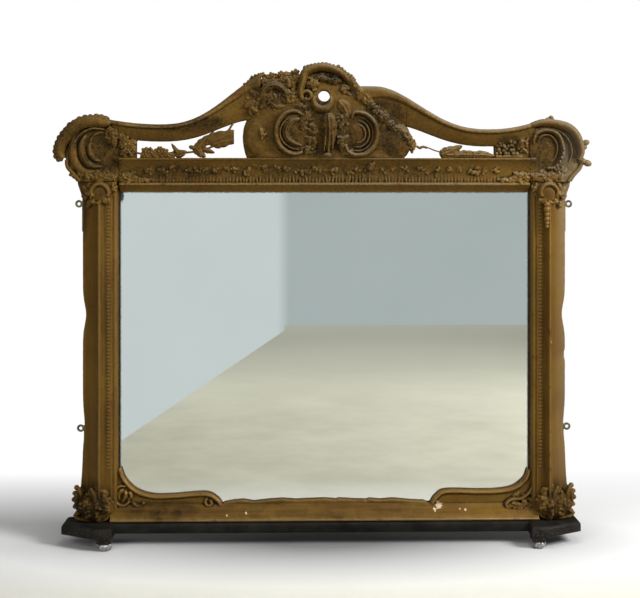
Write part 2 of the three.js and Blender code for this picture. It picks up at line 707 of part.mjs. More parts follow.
// Base: a black moulded board that breaks forward under each stile
function base() {
  const half = [
    [CORNER_INNER, BASE_MIDDLE_DEPTH],
    [CORNER_INNER, BASE_CORNER_DEPTH],
    [CORNER_OUTER, BASE_CORNER_DEPTH],
    [BASE_HALF, BASE_MIDDLE_DEPTH + 2],
    [BASE_HALF, 0],
  ];
  const plan = outlineOf([...half, ...half.map(([x, depth]) => [-x, depth]).toReversed()]);
  const round = 12;
  const geometry = new THREE.ExtrudeGeometry(plan, {
    depth: BASE_THICK - round,
    bevelThickness: round,
    bevelSize: round,
    bevelOffset: -round,
    bevelSegments: 3,
  });
  const underside = BASE_UNDERSIDE;
  const board = solidOf(warp(geometry, (x, depth, up) => at(BASE_X + x, underside + up, depth)));
  const cell = block(-900, 900, underside, FRAME_FOOT - JOINT, 0, 200);
  const back = block(BASE_X - BASE_HALF, BASE_X + BASE_HALF, underside, FRAME_FOOT - JOINT, 0, round + 1);
  const pads = [-1, 1].map((side) =>
    block(
      BASE_X + side * (FOOT_X - FOOT_RADIUS),
      BASE_X + side * (FOOT_X + FOOT_RADIUS),
      underside - FOOT_BLOCK,
      underside + 1,
      FOOT_DEPTH - FOOT_RADIUS,
      FOOT_DEPTH + FOOT_RADIUS,
    ),
  );
  return join([board.intersect(cell), back, ...pads]);
}

function foot(side) {
  const top = BASE_UNDERSIDE - FOOT_BLOCK - 2 * JOINT;
  const height = top - FLOOR;
  const lobes = 6;
  const profile = [[0, 0], [0.62, 0], [0.95, 0.3], [1, 0.6], [0.8, 0.88], [0.62, 1], [0, 1]];
  const geometry = new THREE.LatheGeometry(
    profile.map(([r, h]) => new THREE.Vector2(r * FOOT_RADIUS, h * height)),
    lobes * 2,
  );
  const place = (x, y, z) => {
    const lobe = 1 - 0.05 * (1 - Math.cos(lobes * Math.atan2(z, x)));
    return at(BASE_X + side * FOOT_X + lobe * x, FLOOR + y, FOOT_DEPTH + lobe * z);
  };
  return solidOf(warp(geometry, place));
}

// Hanging eyes: a flat tail let into the back of the stile, with a ring standing out
function eyeTail(z) {
  return { inner: STILE_OUTER - 22, low: z - 80, high: z + EYE_RADIUS - 2 };
}

function eyePlate(side, z) {
  const reach = STILE_OUTER + outerShift(z) + EYE_REACH;
  const tail = eyeTail(z);
  const outline = new THREE.Shape();
  outline.absarc(side * reach, z, EYE_RADIUS, 0, 2 * Math.PI);
  const hole = new THREE.Path();
  hole.absarc(side * reach, z, EYE_HOLE_RADIUS, 0, 2 * Math.PI, true);
  outline.holes.push(hole);
  const ring = plate(outline, 0, EYE_THICK, EYE_SIDES);
  const edge = STILE_OUTER + outerShift(z) + 5;
  const strap = block(side * tail.inner, side * edge, tail.low, tail.high, 0, EYE_THICK);
  return ring.add(strap.subtract(plate(ringGap(side * reach, z), -1, EYE_THICK + 1, EYE_SIDES)));
}

function ringGap(x, z) {
  const gap = new THREE.Shape();
  gap.absarc(x, z, EYE_HOLE_RADIUS + 2, 0, 2 * Math.PI);
  return gap;
}

// Glass and backboard lie in the frame's rebate
function rebatePane(depth0, depth1) {
  const half = SIGHT_HALF + REBATE_LAP - 0.5;
  return block(-half, half, -452.2, SIGHT_TOP + REBATE_LAP - 0.4, depth0, depth1);
}

// The whole mirror
const mirror = new THREE.Group();
mirror.add(
  meshOf("mirror_glass", rebatePane(BOARD_THICK + JOINT, BOARD_THICK + JOINT + GLASS_THICK), silvered),
  meshOf("backboard", rebatePane(0, BOARD_THICK - JOINT), pine),
  meshOf("left_stile", stile(-1), gilt),
  meshOf("right_stile", stile(1), gilt),
  meshOf("top_rail", topRail(), gilt),
  meshOf("bottom_rail", bottomRail(), gilt),
  meshOf("left_ear", ear(-1), gilt),
  meshOf("right_ear", ear(1), gilt),
  meshOf("left_crest_rail", crestRail(CREST.left, flowerCluster()), gilt),
  meshOf("right_crest_rail", crestRail(CREST.right, grapeCluster()), gilt),
  meshOf("cartouche", cartouche(), gilt),
  meshOf("left_spray", leftSpray(), gilt),
  meshOf("right_spray", rightSpray(), gilt),
  meshOf("base", base(), ebonised),
  meshOf("left_foot", foot(-1), pewter),
  meshOf("right_foot", foot(1), pewter),
  meshOf("upper_left_eye", eyePlate(-1, EYE_UPPER_Z), iron),
  meshOf("upper_right_eye", eyePlate(1, EYE_UPPER_Z), iron),
  meshOf("lower_left_eye", eyePlate(-1, EYE_LOWER_Z), iron),
  meshOf("lower_right_eye", eyePlate(1, EYE_LOWER_Z), iron),
);

export default mirror;
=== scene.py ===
import math

import bpy
import numpy as np
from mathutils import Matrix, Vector


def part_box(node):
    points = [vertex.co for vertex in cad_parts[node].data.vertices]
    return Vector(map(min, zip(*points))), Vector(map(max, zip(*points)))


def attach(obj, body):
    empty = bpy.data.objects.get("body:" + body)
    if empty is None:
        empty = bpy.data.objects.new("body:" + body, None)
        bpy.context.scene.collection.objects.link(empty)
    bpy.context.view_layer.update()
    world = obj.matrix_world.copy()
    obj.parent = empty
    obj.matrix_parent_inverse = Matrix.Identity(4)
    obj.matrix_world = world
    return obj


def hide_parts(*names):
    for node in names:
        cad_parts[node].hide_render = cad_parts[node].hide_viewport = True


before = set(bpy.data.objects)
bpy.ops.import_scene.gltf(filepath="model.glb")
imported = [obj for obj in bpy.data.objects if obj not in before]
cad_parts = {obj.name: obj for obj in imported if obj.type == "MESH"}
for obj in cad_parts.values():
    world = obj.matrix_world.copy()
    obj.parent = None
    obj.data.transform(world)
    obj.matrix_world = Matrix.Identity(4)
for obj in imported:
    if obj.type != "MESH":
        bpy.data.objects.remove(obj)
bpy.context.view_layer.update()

# Sizes in millimetres, in the frame's axes: x to the right, z up, depth out from the wall
MM = 0.001
SIGHT_HALF = 589.0
SIGHT_TOP = 444.0
STILE_OUTER = 696.0
STILE_WIDTH = STILE_OUTER - SIGHT_HALF
STILE_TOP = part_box("left_stile")[1][2] / MM
FRAME_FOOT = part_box("left_stile")[0][2] / MM
TOP_RAIL_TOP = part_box("top_rail")[1][2] / MM
CREST_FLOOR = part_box("cartouche")[0][2] / MM
FLOOR_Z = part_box("left_foot")[0][2]
REBATE_DEPTH = 14.3
REBATE_LAP = 8.0
RIDGE_DEPTH = 68.0
SCOOP_WIDTH = 50.0
BEAD_BED = 47.0
SLIP_DEPTH = 25.0
CREST_BACK = 12.0
CARTOUCHE_HALF = 232.0
EAR_JOINT = 590.0
NOTCH_X = 612.0
JOINT = 0.2

COARSE = 1.0


# Paths and profiles
def spline(side, points):
    """A smooth path through points given for the right-hand side."""
    knots = np.array([(side * x, z) for x, z in points], float)
    padded = np.vstack([2 * knots[0] - knots[1], knots, 2 * knots[-1] - knots[-2]])

    def path(t):
        at = np.clip(np.asarray(t, float), 0, 1) * (len(knots) - 1)
        i = np.minimum(at.astype(int), len(knots) - 2)
        u = (at - i)[:, None]
        a, b, c, d = (padded[i + k] for k in range(4))
        return 0.5 * (2 * b + (c - a) * u + (2 * a - 5 * b + 4 * c - d) * u**2
                      + (3 * b - a - 3 * c + d) * u**3)

    return path


def spiral(side, x, z, radii, angles, squash=1.0):
    """A spiral about a point, its angles in degrees for the right-hand side."""

    def path(t):
        t = np.asarray(t, float)
        angle = np.radians(angles[0] + (angles[1] - angles[0]) * t)
        radius = radii[0] + (radii[1] - radii[0]) * t
        return np.stack([side * (x + radius * np.cos(angle)), z + squash * radius * np.sin(angle)], 1)

    return path


def bezier(start, pull, push, end, count=8):
    """Points along a curved stretch of a profile, without its start."""
    t = np.linspace(0, 1, count + 1)[1:, None]
    start, pull, push, end = (np.array(p, float) for p in (start, pull, push, end))
    curve = (1 - t)**3 * start + 3 * (1 - t)**2 * t * pull + 3 * (1 - t) * t**2 * push + t**3 * end
    return [tuple(p) for p in curve]


def swell(ends, middle):
    """A size that swells from both ends to the middle of a path."""
    return lambda t: ends + (middle - ends) * np.sin(np.pi * np.clip(t, 0, 1))**0.7


def ramp(start, end):
    """A size that changes evenly along a path."""
    return lambda t: start + (end - start) * t


def steady(value):
    """The same size all along a path."""
    return lambda t: np.full_like(np.asarray(t, float), value)


def half_round(count=9):
    """A half-round section with its foot sunk in the ground."""
    angle = np.linspace(0, np.pi, count)
    return [(-1.0, -0.7), (1.0, -0.7)] + list(zip(np.cos(angle), np.sin(angle)))


ROLL = half_round()


# Shapes that are gathered and then fused into one carved piece
class Carving:
    def __init__(self):
        self.points = []
        self.faces = []
        self.count = 0

    def add(self, points, faces):
        """Points are across, up and depth, in millimetres."""
        points = np.asarray(points, float)
        self.points.append(np.stack([points[:, 0], -points[:, 2], points[:, 1]], 1) * MM)
        self.faces += [tuple(i + self.count for i in face) for face in faces]
        self.count += len(points)

    def rings(self, rings):
        """A closed skin over a row of rings that all have as many points."""
        rows, per_ring = rings.shape[:2]
        faces = []
        for i in range(rows - 1):
            for j in range(per_ring):
                k = (j + 1) % per_ring
                faces.append((i * per_ring + j, i * per_ring + k, (i + 1) * per_ring + k,
                              (i + 1) * per_ring + j))
        last = (rows - 1) * per_ring
        faces.append(tuple(range(per_ring))[::-1])
        faces.append(tuple(range(last, last + per_ring)))
        self.add(rings.reshape(-1, 3), faces)

    def sweep(self, section, path, steps, width, rise, ground):
        """A section that follows a path in the plane of the wall."""
        t = np.linspace(0, 1, steps + 1)
        point, across = line_of(path, t)
        section = np.array(section)
        reach = width(t)[:, None] * section[None, :, 0]
        rings = np.empty((len(t), len(section), 3))
        rings[..., 0] = point[:, None, 0] + across[:, None, 0] * reach
        rings[..., 1] = point[:, None, 1] + across[:, None, 1] * reach
        rings[..., 2] = ground(t)[:, None] + rise(t)[:, None] * section[None, :, 1]
        self.rings(rings)

    def scroll(self, path, thick, rise, depth, steps=28, tail=0.4):
        """A rounded scroll that thins towards its ends, with a button at its curled end."""
        self.sweep(ROLL, path, steps, swell(tail * thick, thick), swell(0.6 * rise, rise), steady(depth))
        x, z = path(np.array([1.0]))[0]
        self.ball(x, z, depth + 0.3 * rise, 0.8 * thick, 0.7 * rise)

    def leaf(self, path, width, rise, depth, curl=0.0, lobes=4, tip=0.12, steps=26, notch=0.26):
        """An acanthus leaf: lobes along the edge, slanting furrows, a midrib and a curling tip."""
        t = np.linspace(0, 1, steps + 1)
        a = np.linspace(-1, 1, 13)
        side = np.abs(a)[None, :]
        point, across = line_of(path, t)
        outline = np.sin(np.pi * (0.1 + (0.9 - tip / 2) * t**0.75))**0.9
        half = width * outline * (1 - notch + notch * np.abs(np.sin(np.pi * lobes * t))**0.5)
        wave = np.abs(np.sin(np.pi * lobes * (t[:, None] - 0.1 * side)))**0.7
        body = 0.12 + 0.9 * (1 - side**2.2) - 0.3 * side * (1 - wave)
        rib = 0.14 * np.exp(-(side / 0.12)**2) - 0.2 * np.exp(-((side - 0.27) / 0.12)**2)
        ground = depth + curl * t**2
        top = np.empty((len(t), len(a), 3))
        top[..., 0] = point[:, None, 0] + across[:, None, 0] * half[:, None] * a
        top[..., 1] = point[:, None, 1] + across[:, None, 1] * half[:, None] * a
        top[..., 2] = ground[:, None] + rise * (0.35 + 0.65 * outline[:, None]) * (body + rib)
        under = top[:, [-1, 0]].copy()
        under[..., 2] = ground[:, None] - 0.75 * rise
        self.rings(np.concatenate([under[:, ::-1], top[:, ::-1]], 1))

    def ball(self, x, z, depth, radius, high=None, turn=0.0, long=1.0):
        """A copy of the modelled ball, squashed to its place."""
        points, faces = BALL
        flat = points * (radius * long, radius, high or radius)
        c, s = math.cos(turn), math.sin(turn)
        placed = np.stack([x + c * flat[:, 0] - s * flat[:, 1], z + s * flat[:, 0] + c * flat[:, 1],
                           depth + flat[:, 2]], 1)
        self.add(placed, faces)

    def bloom(self, x, z, depth, radius, petals=5, turn=0.3):
        """A small flower: round petals about a raised eye."""
        for i in range(petals):
            angle = turn + 2 * math.pi * i / petals
            reach = 0.58 * radius
            self.ball(x + reach * math.cos(angle), z + reach * math.sin(angle), depth + 0.12 * radius,
                      0.42 * radius, 0.36 * radius, angle, 1.15)
        self.ball(x, z, depth + 0.35 * radius, 0.3 * radius, 0.32 * radius)
        self.ball(x, z, depth - 0.2 * radius, 0.55 * radius, 0.4 * radius)

    def bar(self, x0, x1, z0, z1, depth0, depth1):
        """A plain block."""
        rings = np.array([[(x0, z, d) for z, d in ((z0, depth0), (z1, depth0), (z1, depth1), (z0, depth1))],
                          [(x1, z, d) for z, d in ((z0, depth0), (z1, depth0), (z1, depth1), (z0, depth1))]])
        self.rings(rings)

    def board(self, outline, depth0, depth1):
        """A flat plate sawn to an outline."""
        low = [(x, z, depth0) for x, z in outline]
        high = [(x, z, depth1) for x, z in outline]
        self.rings(np.array([low, high]))

    def moulding(self, profile, place, steps):
        """A profile of (across, depth) run along t, put where place(across, t) says."""
        t = np.linspace(0, 1, steps + 1)
        rings = np.array([[(*place(a, s), d) for a, d in profile] for s in t])
        self.rings(rings)


def line_of(path, t):
    """Points of a path and the direction across it."""
    step = 1e-3
    point = path(t)
    along = path(np.minimum(t + step, 1)) - path(np.maximum(t - step, 0))
    along /= np.maximum(np.linalg.norm(along, axis=1, keepdims=True), 1e-9)
    return point, np.stack([-along[:, 1], along[:, 0]], 1)


# Modelling by hand
def deselect():
    bpy.ops.object.select_all(action="DESELECT")


def pick(piece):
    deselect()
    piece.select_set(True)
    bpy.context.view_layer.objects.active = piece


def apply_modifier(piece, kind, **settings):
    pick(piece)
    bpy.ops.object.modifier_add(type=kind)
    modifier = piece.modifiers[-1]
    for key, value in settings.items():
        setattr(modifier, key, value)
    bpy.ops.object.modifier_apply(modifier=modifier.name)


def modelled_ball():
    """The ball that beads, petals, berries and buttons are copied from."""
    deselect()
    bpy.ops.mesh.primitive_uv_sphere_add(segments=10, ring_count=7, radius=1)
    ball = bpy.context.object
    points = np.array([v.co[:] for v in ball.data.vertices])
    faces = [tuple(f.vertices) for f in ball.data.polygons]
    bpy.ops.object.delete()
    return points, faces


BALL = modelled_ball()


def gathered(name, carving, prepare):
    """A carving's shapes as one object with its faces outward, once they are prepared."""
    mesh = bpy.data.meshes.new(name)
    mesh.from_pydata(np.concatenate(carving.points).tolist(), [], carving.faces)
    piece = bpy.data.objects.new(name, mesh)
    bpy.context.collection.objects.link(piece)
    pick(piece)
    bpy.ops.object.mode_set(mode="EDIT")
    bpy.ops.mesh.select_all(action="SELECT")
    prepare()
    bpy.ops.mesh.normals_make_consistent(inside=False)
    bpy.ops.object.mode_set(mode="OBJECT")
    return piece


def fuse(name, carving, voxel, most, cuts=(), rough=0.35, joints=()):
    """Joins a carving's shapes into one soft skin, saws it off at its joints and keeps it under its limit."""
    piece = gathered("carved_" + name, carving, bpy.ops.mesh.quads_convert_to_tris)
    apply_modifier(piece, "REMESH", mode="VOXEL", voxel_size=voxel * COARSE * MM, adaptivity=0.0)
    apply_modifier(piece, "SMOOTH", factor=0.5, iterations=2)
    hand_tooled(piece, rough)
    for cut in cuts:
        trim(piece, *cut)
    mark_hollows(piece, [*cuts, *joints])
    triangles = 2 * len(piece.data.polygons)
    if triangles > most:
        apply_modifier(piece, "DECIMATE", ratio=most / triangles)
    split_alike(piece)
    pick(piece)
    bpy.ops.object.shade_smooth()
    return piece


def split_alike(piece):
    """Splits every face into triangles the same way each time."""
    apply_modifier(piece, "TRIANGULATE", quad_method="FIXED", ngon_method="CLIP")


def trim(piece, point, normal):
    """Saws a piece off flat, on the side that the normal points to."""
    pick(piece)
    bpy.ops.object.mode_set(mode="EDIT")
    bpy.ops.mesh.select_all(action="SELECT")
    x, z, depth = point
    bpy.ops.mesh.bisect(plane_co=(x * MM, -depth * MM, z * MM), plane_no=(normal[0], -normal[2], normal[1]),
                        use_fill=True, clear_outer=True)
    bpy.ops.object.mode_set(mode="OBJECT")


def hand_tooled(piece, strength):
    """The slight unevenness of gesso and hand carving."""
    texture = bpy.data.textures.get("gesso") or bpy.data.textures.new("gesso", "CLOUDS")
    texture.noise_scale = 0.012
    texture.noise_depth = 2
    apply_modifier(piece, "DISPLACE", texture=texture, strength=2 * strength * MM, mid_level=0.5,
                   texture_coords="LOCAL")


def mark_hollows(piece, joints):
    """Stores how far each point faces up, and how deep in a hollow it lies; joints get no pale edge or dark
    hollow.
    """
    mesh = piece.data
    count = len(mesh.vertices)
    place = np.empty(3 * count)
    mesh.vertices.foreach_get("co", place)
    place = place.reshape(-1, 3)
    normal = np.empty(3 * count)
    mesh.vertices.foreach_get("normal", normal)
    normal = normal.reshape(-1, 3)
    ends = np.empty(2 * len(mesh.edges), np.int32)
    mesh.edges.foreach_get("vertices", ends)
    a, b = ends[0::2], ends[1::2]
    degree = np.maximum(np.bincount(a, minlength=count) + np.bincount(b, minlength=count), 1)
    away = np.ones(count)
    for (x, z, _), (nx, nz, _) in joints:
        distance = np.abs((place[:, 0] / MM - x) * nx + (place[:, 2] / MM - z) * nz)
        away = np.minimum(away, distance / 7)
    upward = mesh.attributes.new("upward", "FLOAT", "POINT")
    upward.data.foreach_set("value", normal[:, 2].astype(np.float32))
    soft = place.copy()
    for name, rounds in (("fine", 6), ("broad", 44)):
        for _ in range(rounds):
            soft = np.stack([np.bincount(a, soft[b, k], count) + np.bincount(b, soft[a, k], count)
                             for k in range(3)], 1) / degree[:, None]
        depth = away * ((soft - place) * normal).sum(1) / MM
        store = mesh.attributes.new(name, "FLOAT", "POINT")
        store.data.foreach_set("value", depth.astype(np.float32))


# Finishes
class Paint:
    """The nodes of one finish, or of the studio's light."""

    def __init__(self, tree):
        self.nodes = tree.nodes
        self.links = tree.links

    def node(self, kind, **settings):
        made = self.nodes.new(kind)
        for key, value in settings.items():
            setattr(made, key, value)
        return made

    def link(self, value, socket):
        self.links.new(value, socket)

    def place(self):
        return self.node("ShaderNodeTexCoord").outputs["Object"]

    def axes(self, place):
        """A place as its x, y and z."""
        split = self.node("ShaderNodeSeparateXYZ")
        self.link(place, split.inputs[0])
        return split.outputs

    def marked(self, name):
        """A value that is stored on the piece itself."""
        return self.node("ShaderNodeAttribute", attribute_name=name).outputs["Fac"]

    def noise(self, scale, detail=4.0, roughness=0.55, stretch=(1, 1, 1)):
        """Cloudy variation on Object coordinates; scale is in features a metre."""
        mapping = self.node("ShaderNodeMapping")
        mapping.inputs["Scale"].default_value = stretch
        texture = self.node("ShaderNodeTexNoise")
        texture.inputs["Scale"].default_value = scale
        texture.inputs["Detail"].default_value = detail
        texture.inputs["Roughness"].default_value = roughness
        self.link(self.place(), mapping.inputs["Vector"])
        self.link(mapping.outputs["Vector"], texture.inputs["Vector"])
        return texture.outputs["Fac"]

    def blend(self, factor, first, second):
        """Mixes two colours, each a socket or a plain colour."""
        mix = self.node("ShaderNodeMix", data_type="RGBA")
        self.link(factor, mix.inputs[0])
        for socket, value in ((mix.inputs[6], first), (mix.inputs[7], second)):
            if isinstance(value, tuple):
                socket.default_value = (*value, 1.0)
            else:
                self.link(value, socket)
        return mix.outputs[2]

    def span(self, value, low, high, to_low=0.0, to_high=1.0):
        """Stretches a value between two limits and clamps it."""
        scale = self.node("ShaderNodeMapRange", clamp=True)
        self.link(value, scale.inputs["Value"])
        for key, number in (("From Min", low), ("From Max", high), ("To Min", to_low), ("To Max", to_high)):
            scale.inputs[key].default_value = number
        return scale.outputs["Result"]

    def calculate(self, operation, first, second, clamp=True):
        """One sum on sockets or plain numbers, kept between 0 and 1 unless told otherwise."""
        made = self.node("ShaderNodeMath", operation=operation, use_clamp=clamp)
        for socket, value in zip(made.inputs, (first, second)):
            if hasattr(value, "is_output"):
                self.link(value, socket)
            else:
                socket.default_value = value
        return made.outputs[0]

    def away_from(self, x, z, wide, high):
        """How far a point lies from a place, 1 being on an oval round it; all in millimetres."""
        away = self.node("ShaderNodeVectorMath", operation="SUBTRACT")
        self.link(self.place(), away.inputs[0])
        away.inputs[1].default_value = (x * MM, 0, z * MM)
        flat = self.node("ShaderNodeVectorMath", operation="MULTIPLY")
        self.link(away.outputs[0], flat.inputs[0])
        flat.inputs[1].default_value = (1 / (wide * MM), 0, 1 / (high * MM))
        return self.length(flat.outputs[0])

    def length(self, vector):
        made = self.node("ShaderNodeVectorMath", operation="LENGTH")
        self.link(vector, made.inputs[0])
        return made.outputs["Value"]

    def bump(self, height, distance, strength):
        made = self.node("ShaderNodeBump")
        made.inputs["Distance"].default_value = distance
        made.inputs["Strength"].default_value = strength
        self.link(height, made.inputs["Height"])
        return made.outputs["Normal"]


def new_material(name):
    material = bpy.data.materials.new(name)
    material.use_nodes = True
    tree = material.node_tree
    return material, Paint(tree), tree.nodes["Principled BSDF"].inputs


GILT_MID = (0.166, 0.086, 0.013)
GILT_WARM = (0.122, 0.057, 0.009)
GILT_OLIVE = (0.114, 0.070, 0.012)
# Pale gold for rubbed edges and for painted highlights
GILT_PALE = (0.240, 0.152, 0.052)
# Pale colour for dust and for painted light
DUST_AND_LIGHT = (0.25, 0.23, 0.18)
# Dark brown for grime, and for painted shade in hollows and recesses
GRIME_AND_SHADE = (0.016, 0.009, 0.002)
BOLE = (0.085, 0.030, 0.012)
GESSO = (0.46, 0.33, 0.22)

# Where the gilt is darkened, as soot and as painted shade (down the left stile, in the hollow of the left
# ear, along the lip of the top rail): x, z, width and height of an oval in millimetres, and how much
SOOT_AND_SHADE_PLACES = [
    (-668, -446, 84, 86, 0.86), (668, -446, 84, 86, 0.66), (570, -450, 60, 36, 0.5),
    (-470, -466, 170, 40, 0.64), (0, -466, 640, 40, 0.42),
    (-630, 0, 34, 520, 0.34), (-702, 400, 34, 120, 0.55), (-639, 440, 20, 20, 0.6), (639, 440, 20, 20, 0.6),
    (30, 500, 600, 48, 0.56), (-420, 500, 220, 40, 0.66), (0, 540, 640, 12, 0.50),
    (-640, 560, 110, 110, 0.72), (-634, 576, 44, 44, 0.76), (-720, 604, 60, 70, 0.70),
    (640, 556, 110, 110, 0.68), (530, 580, 60, 50, 0.70), (-400, 640, 190, 40, 0.80),
    (0, 620, 270, 140, 0.65), (192, 588, 84, 80, 0.70), (170, 660, 100, 90, 0.80),
    (-160, 730, 100, 80, 0.66), (10, 768, 60, 26, 0.80),
]


def aged_gilt(name, chips=(), rubbed_and_lit_foot=False, streak=None, wear_and_shading=1.0):
    """Old gilding: hollows darkened with grime and painted shade, edges paled by rubbing and a painted
    highlight, red ground showing, streaks, dust with painted light, soot with painted shade, and chips.
    """
    material, paint, shader = new_material(name)
    fine = paint.marked("fine")
    x, _, z = paint.axes(paint.place())
    cloud = paint.noise(7.0)
    patch = paint.noise(30.0, 5.0, 0.6)
    speck = paint.noise(150.0, 6.0, 0.65)
    colour = paint.blend(paint.span(cloud, 0.38, 0.62), GILT_WARM, GILT_MID)
    colour = paint.blend(paint.span(patch, 0.62, 0.42, 0.0, 0.45), colour, GILT_OLIVE)
    # Pale on the convex edges: rubbed gilding, and a painted highlight
    rubbed_and_highlit = paint.calculate("MULTIPLY", paint.span(fine, -0.10, -0.65, 0.0, wear_and_shading),
                             paint.span(speck, 0.35, 0.6, 0.3, 0.95))
    if rubbed_and_lit_foot:
        # A pale band along the lower roll of the bottom rail: rubbing, and a painted highlight where light
        # falls on it
        foot_edge_wear_and_highlight = paint.calculate("MULTIPLY", paint.span(z, -0.4795, -0.4850, 0.0, 0.95),
                                    paint.span(patch, 0.35, 0.6, 0.4, 1.0))
        rubbed_and_highlit = paint.calculate("MAXIMUM", rubbed_and_highlit, foot_edge_wear_and_highlight)
    colour = paint.blend(rubbed_and_highlit, colour, GILT_PALE)
    worn = paint.calculate("MULTIPLY", paint.span(patch, 0.56, 0.68), paint.span(fine, 0.1, -0.3, 0.2, 0.75))
    colour = paint.blend(worn, colour, BOLE)
    # Dark in the hollows: grime, and painted shade; the broad hollows are darkened as shade falls in recesses
    grime_and_shade = paint.calculate("ADD", paint.span(fine, 0.06, 0.65, 0.0, 0.75 * wear_and_shading),
                            paint.span(paint.marked("broad"), -0.6, 4.2, 0.0, 0.8 * wear_and_shading))
    # Soot and painted shade over the crest and in the listed places
    grime_and_shade = paint.calculate("MAXIMUM", grime_and_shade, soot_and_shade(paint, z, fine, patch))
    if streak:
        stain = paint.span(paint.noise(70.0, 4.0, 0.55, streak), 0.62, 0.40, 0.0, 0.26)
    else:
        stain = paint.span(speck, 0.58, 0.38, 0.0, 0.28)
    grime_and_shade = paint.calculate("ADD", grime_and_shade, stain)
    colour = paint.blend(grime_and_shade, colour, GRIME_AND_SHADE)
    # Pale dust, and painted light on upward faces and the right side
    colour = paint.blend(dust_and_light(paint, x, z), colour, DUST_AND_LIGHT)
    shine = paint.calculate("SUBTRACT", 0.45, grime_and_shade)
    if chips:
        chipped = chip_mask(paint, chips)
        colour = paint.blend(chipped, colour, GESSO)
        shine = paint.calculate("SUBTRACT", shine, chipped)
    paint.link(colour, shader["Base Color"])
    paint.link(shine, shader["Metallic"])
    shader["Specular IOR Level"].default_value = 0.08
    paint.link(paint.span(grime_and_shade, 0.0, 1.0, 0.44, 0.8), shader["Roughness"])
    paint.link(paint.bump(speck, 0.0008, 0.45), shader["Normal"])
    return material


def soot_and_shade(paint, z, fine, patch):
    """Darker towards the top of the crest and in its places, part soot and part painted shade, thinner on the
    ridges.
    """
    total = paint.span(z, 0.40, 0.58, 0.0, 0.36)
    for at_x, at_z, wide, high, amount in SOOT_AND_SHADE_PLACES:
        near = paint.span(paint.away_from(at_x, at_z, wide, high), 1.0, 0.45, 0.0, amount)
        total = paint.calculate("MAXIMUM", total, near)
    total = paint.calculate("MULTIPLY", total, paint.span(fine, -0.5, 0.05, 0.7, 1.0))
    return paint.calculate("MULTIPLY", total, paint.span(patch, 0.35, 0.65, 1.25, 0.75))


def dust_and_light(paint, x, z):
    """Pale colour on the upward faces of the crest and down the right side, stronger to the right: dust, and
    painted light from above and the right.
    """
    on_top = paint.calculate("MULTIPLY", paint.span(paint.marked("upward"), 0.2, 0.8, 0.0, 0.32),
                             paint.span(z, 0.3, 0.55))
    # Paler down the outer right stile: painted light from the right
    down_right = paint.calculate("MULTIPLY", paint.span(x, 0.66, 0.69, 0.0, 0.17),
                                 paint.span(z, -0.42, -0.34))
    both = paint.calculate("MAXIMUM", on_top, down_right)
    # Stronger towards the right, where the light falls
    return paint.calculate("MULTIPLY", both, paint.span(x, -0.25, 0.15, 0.15, 1.0))


def chip_mask(paint, chips):
    """Where the gilding is chipped off in front: ragged spots given by x, z and radius in millimetres."""
    ragged = paint.span(paint.noise(160.0, 4.0), 0.3, 0.7, -0.5, 0.5)
    spots = []
    for x, z, radius in chips:
        away = paint.calculate("ADD", paint.away_from(x, z, radius, radius), ragged)
        spots.append(paint.span(away, 1.0, 0.8))
    total = spots[0]
    for spot in spots[1:]:
        total = paint.calculate("MAXIMUM", total, spot)
    _, y, _ = paint.axes(paint.place())
    return paint.calculate("MULTIPLY", total, paint.span(y, -0.026, -0.034))


def bare_wood(name, light, dark, along):
    """Plain old timber with its grain along one axis."""
    material, paint, shader = new_material(name)
    stretch = tuple(1.0 if i == along else 14.0 for i in range(3))
    grain = paint.noise(6.0, 8.0, 0.6, stretch)
    stain = paint.noise(5.0, 3.0)
    colour = paint.blend(paint.span(grain, 0.3, 0.7), dark, light)
    colour = paint.blend(paint.span(stain, 0.4, 0.75, 0.0, 0.55), colour, dark)
    paint.link(colour, shader["Base Color"])
    paint.link(paint.span(grain, 0.3, 0.7, 0.85, 0.7), shader["Roughness"])
    paint.link(paint.bump(grain, 0.0008, 0.6), shader["Normal"])
    return material


def black_paint(name):
    """Dull black paint, a little dusty, and scuffed along its edges."""
    material, paint, shader = new_material(name)
    edges = paint.node("ShaderNodeNewGeometry").outputs["Pointiness"]
    cloud = paint.noise(22.0, 5.0)
    speck = paint.noise(240.0, 4.0)
    colour = paint.blend(paint.span(cloud, 0.35, 0.7), (0.0055, 0.005, 0.0042), (0.015, 0.0135, 0.011))
    scuff = paint.calculate("MULTIPLY", paint.span(edges, 0.53, 0.6), paint.span(speck, 0.5, 0.62, 0.0, 0.6))
    colour = paint.blend(scuff, colour, (0.10, 0.08, 0.06))
    paint.link(colour, shader["Base Color"])
    shader["Specular IOR Level"].default_value = 0.06
    paint.link(paint.span(cloud, 0.3, 0.7, 0.4, 0.6), shader["Roughness"])
    paint.link(paint.bump(speck, 0.0003, 0.3), shader["Normal"])
    return material


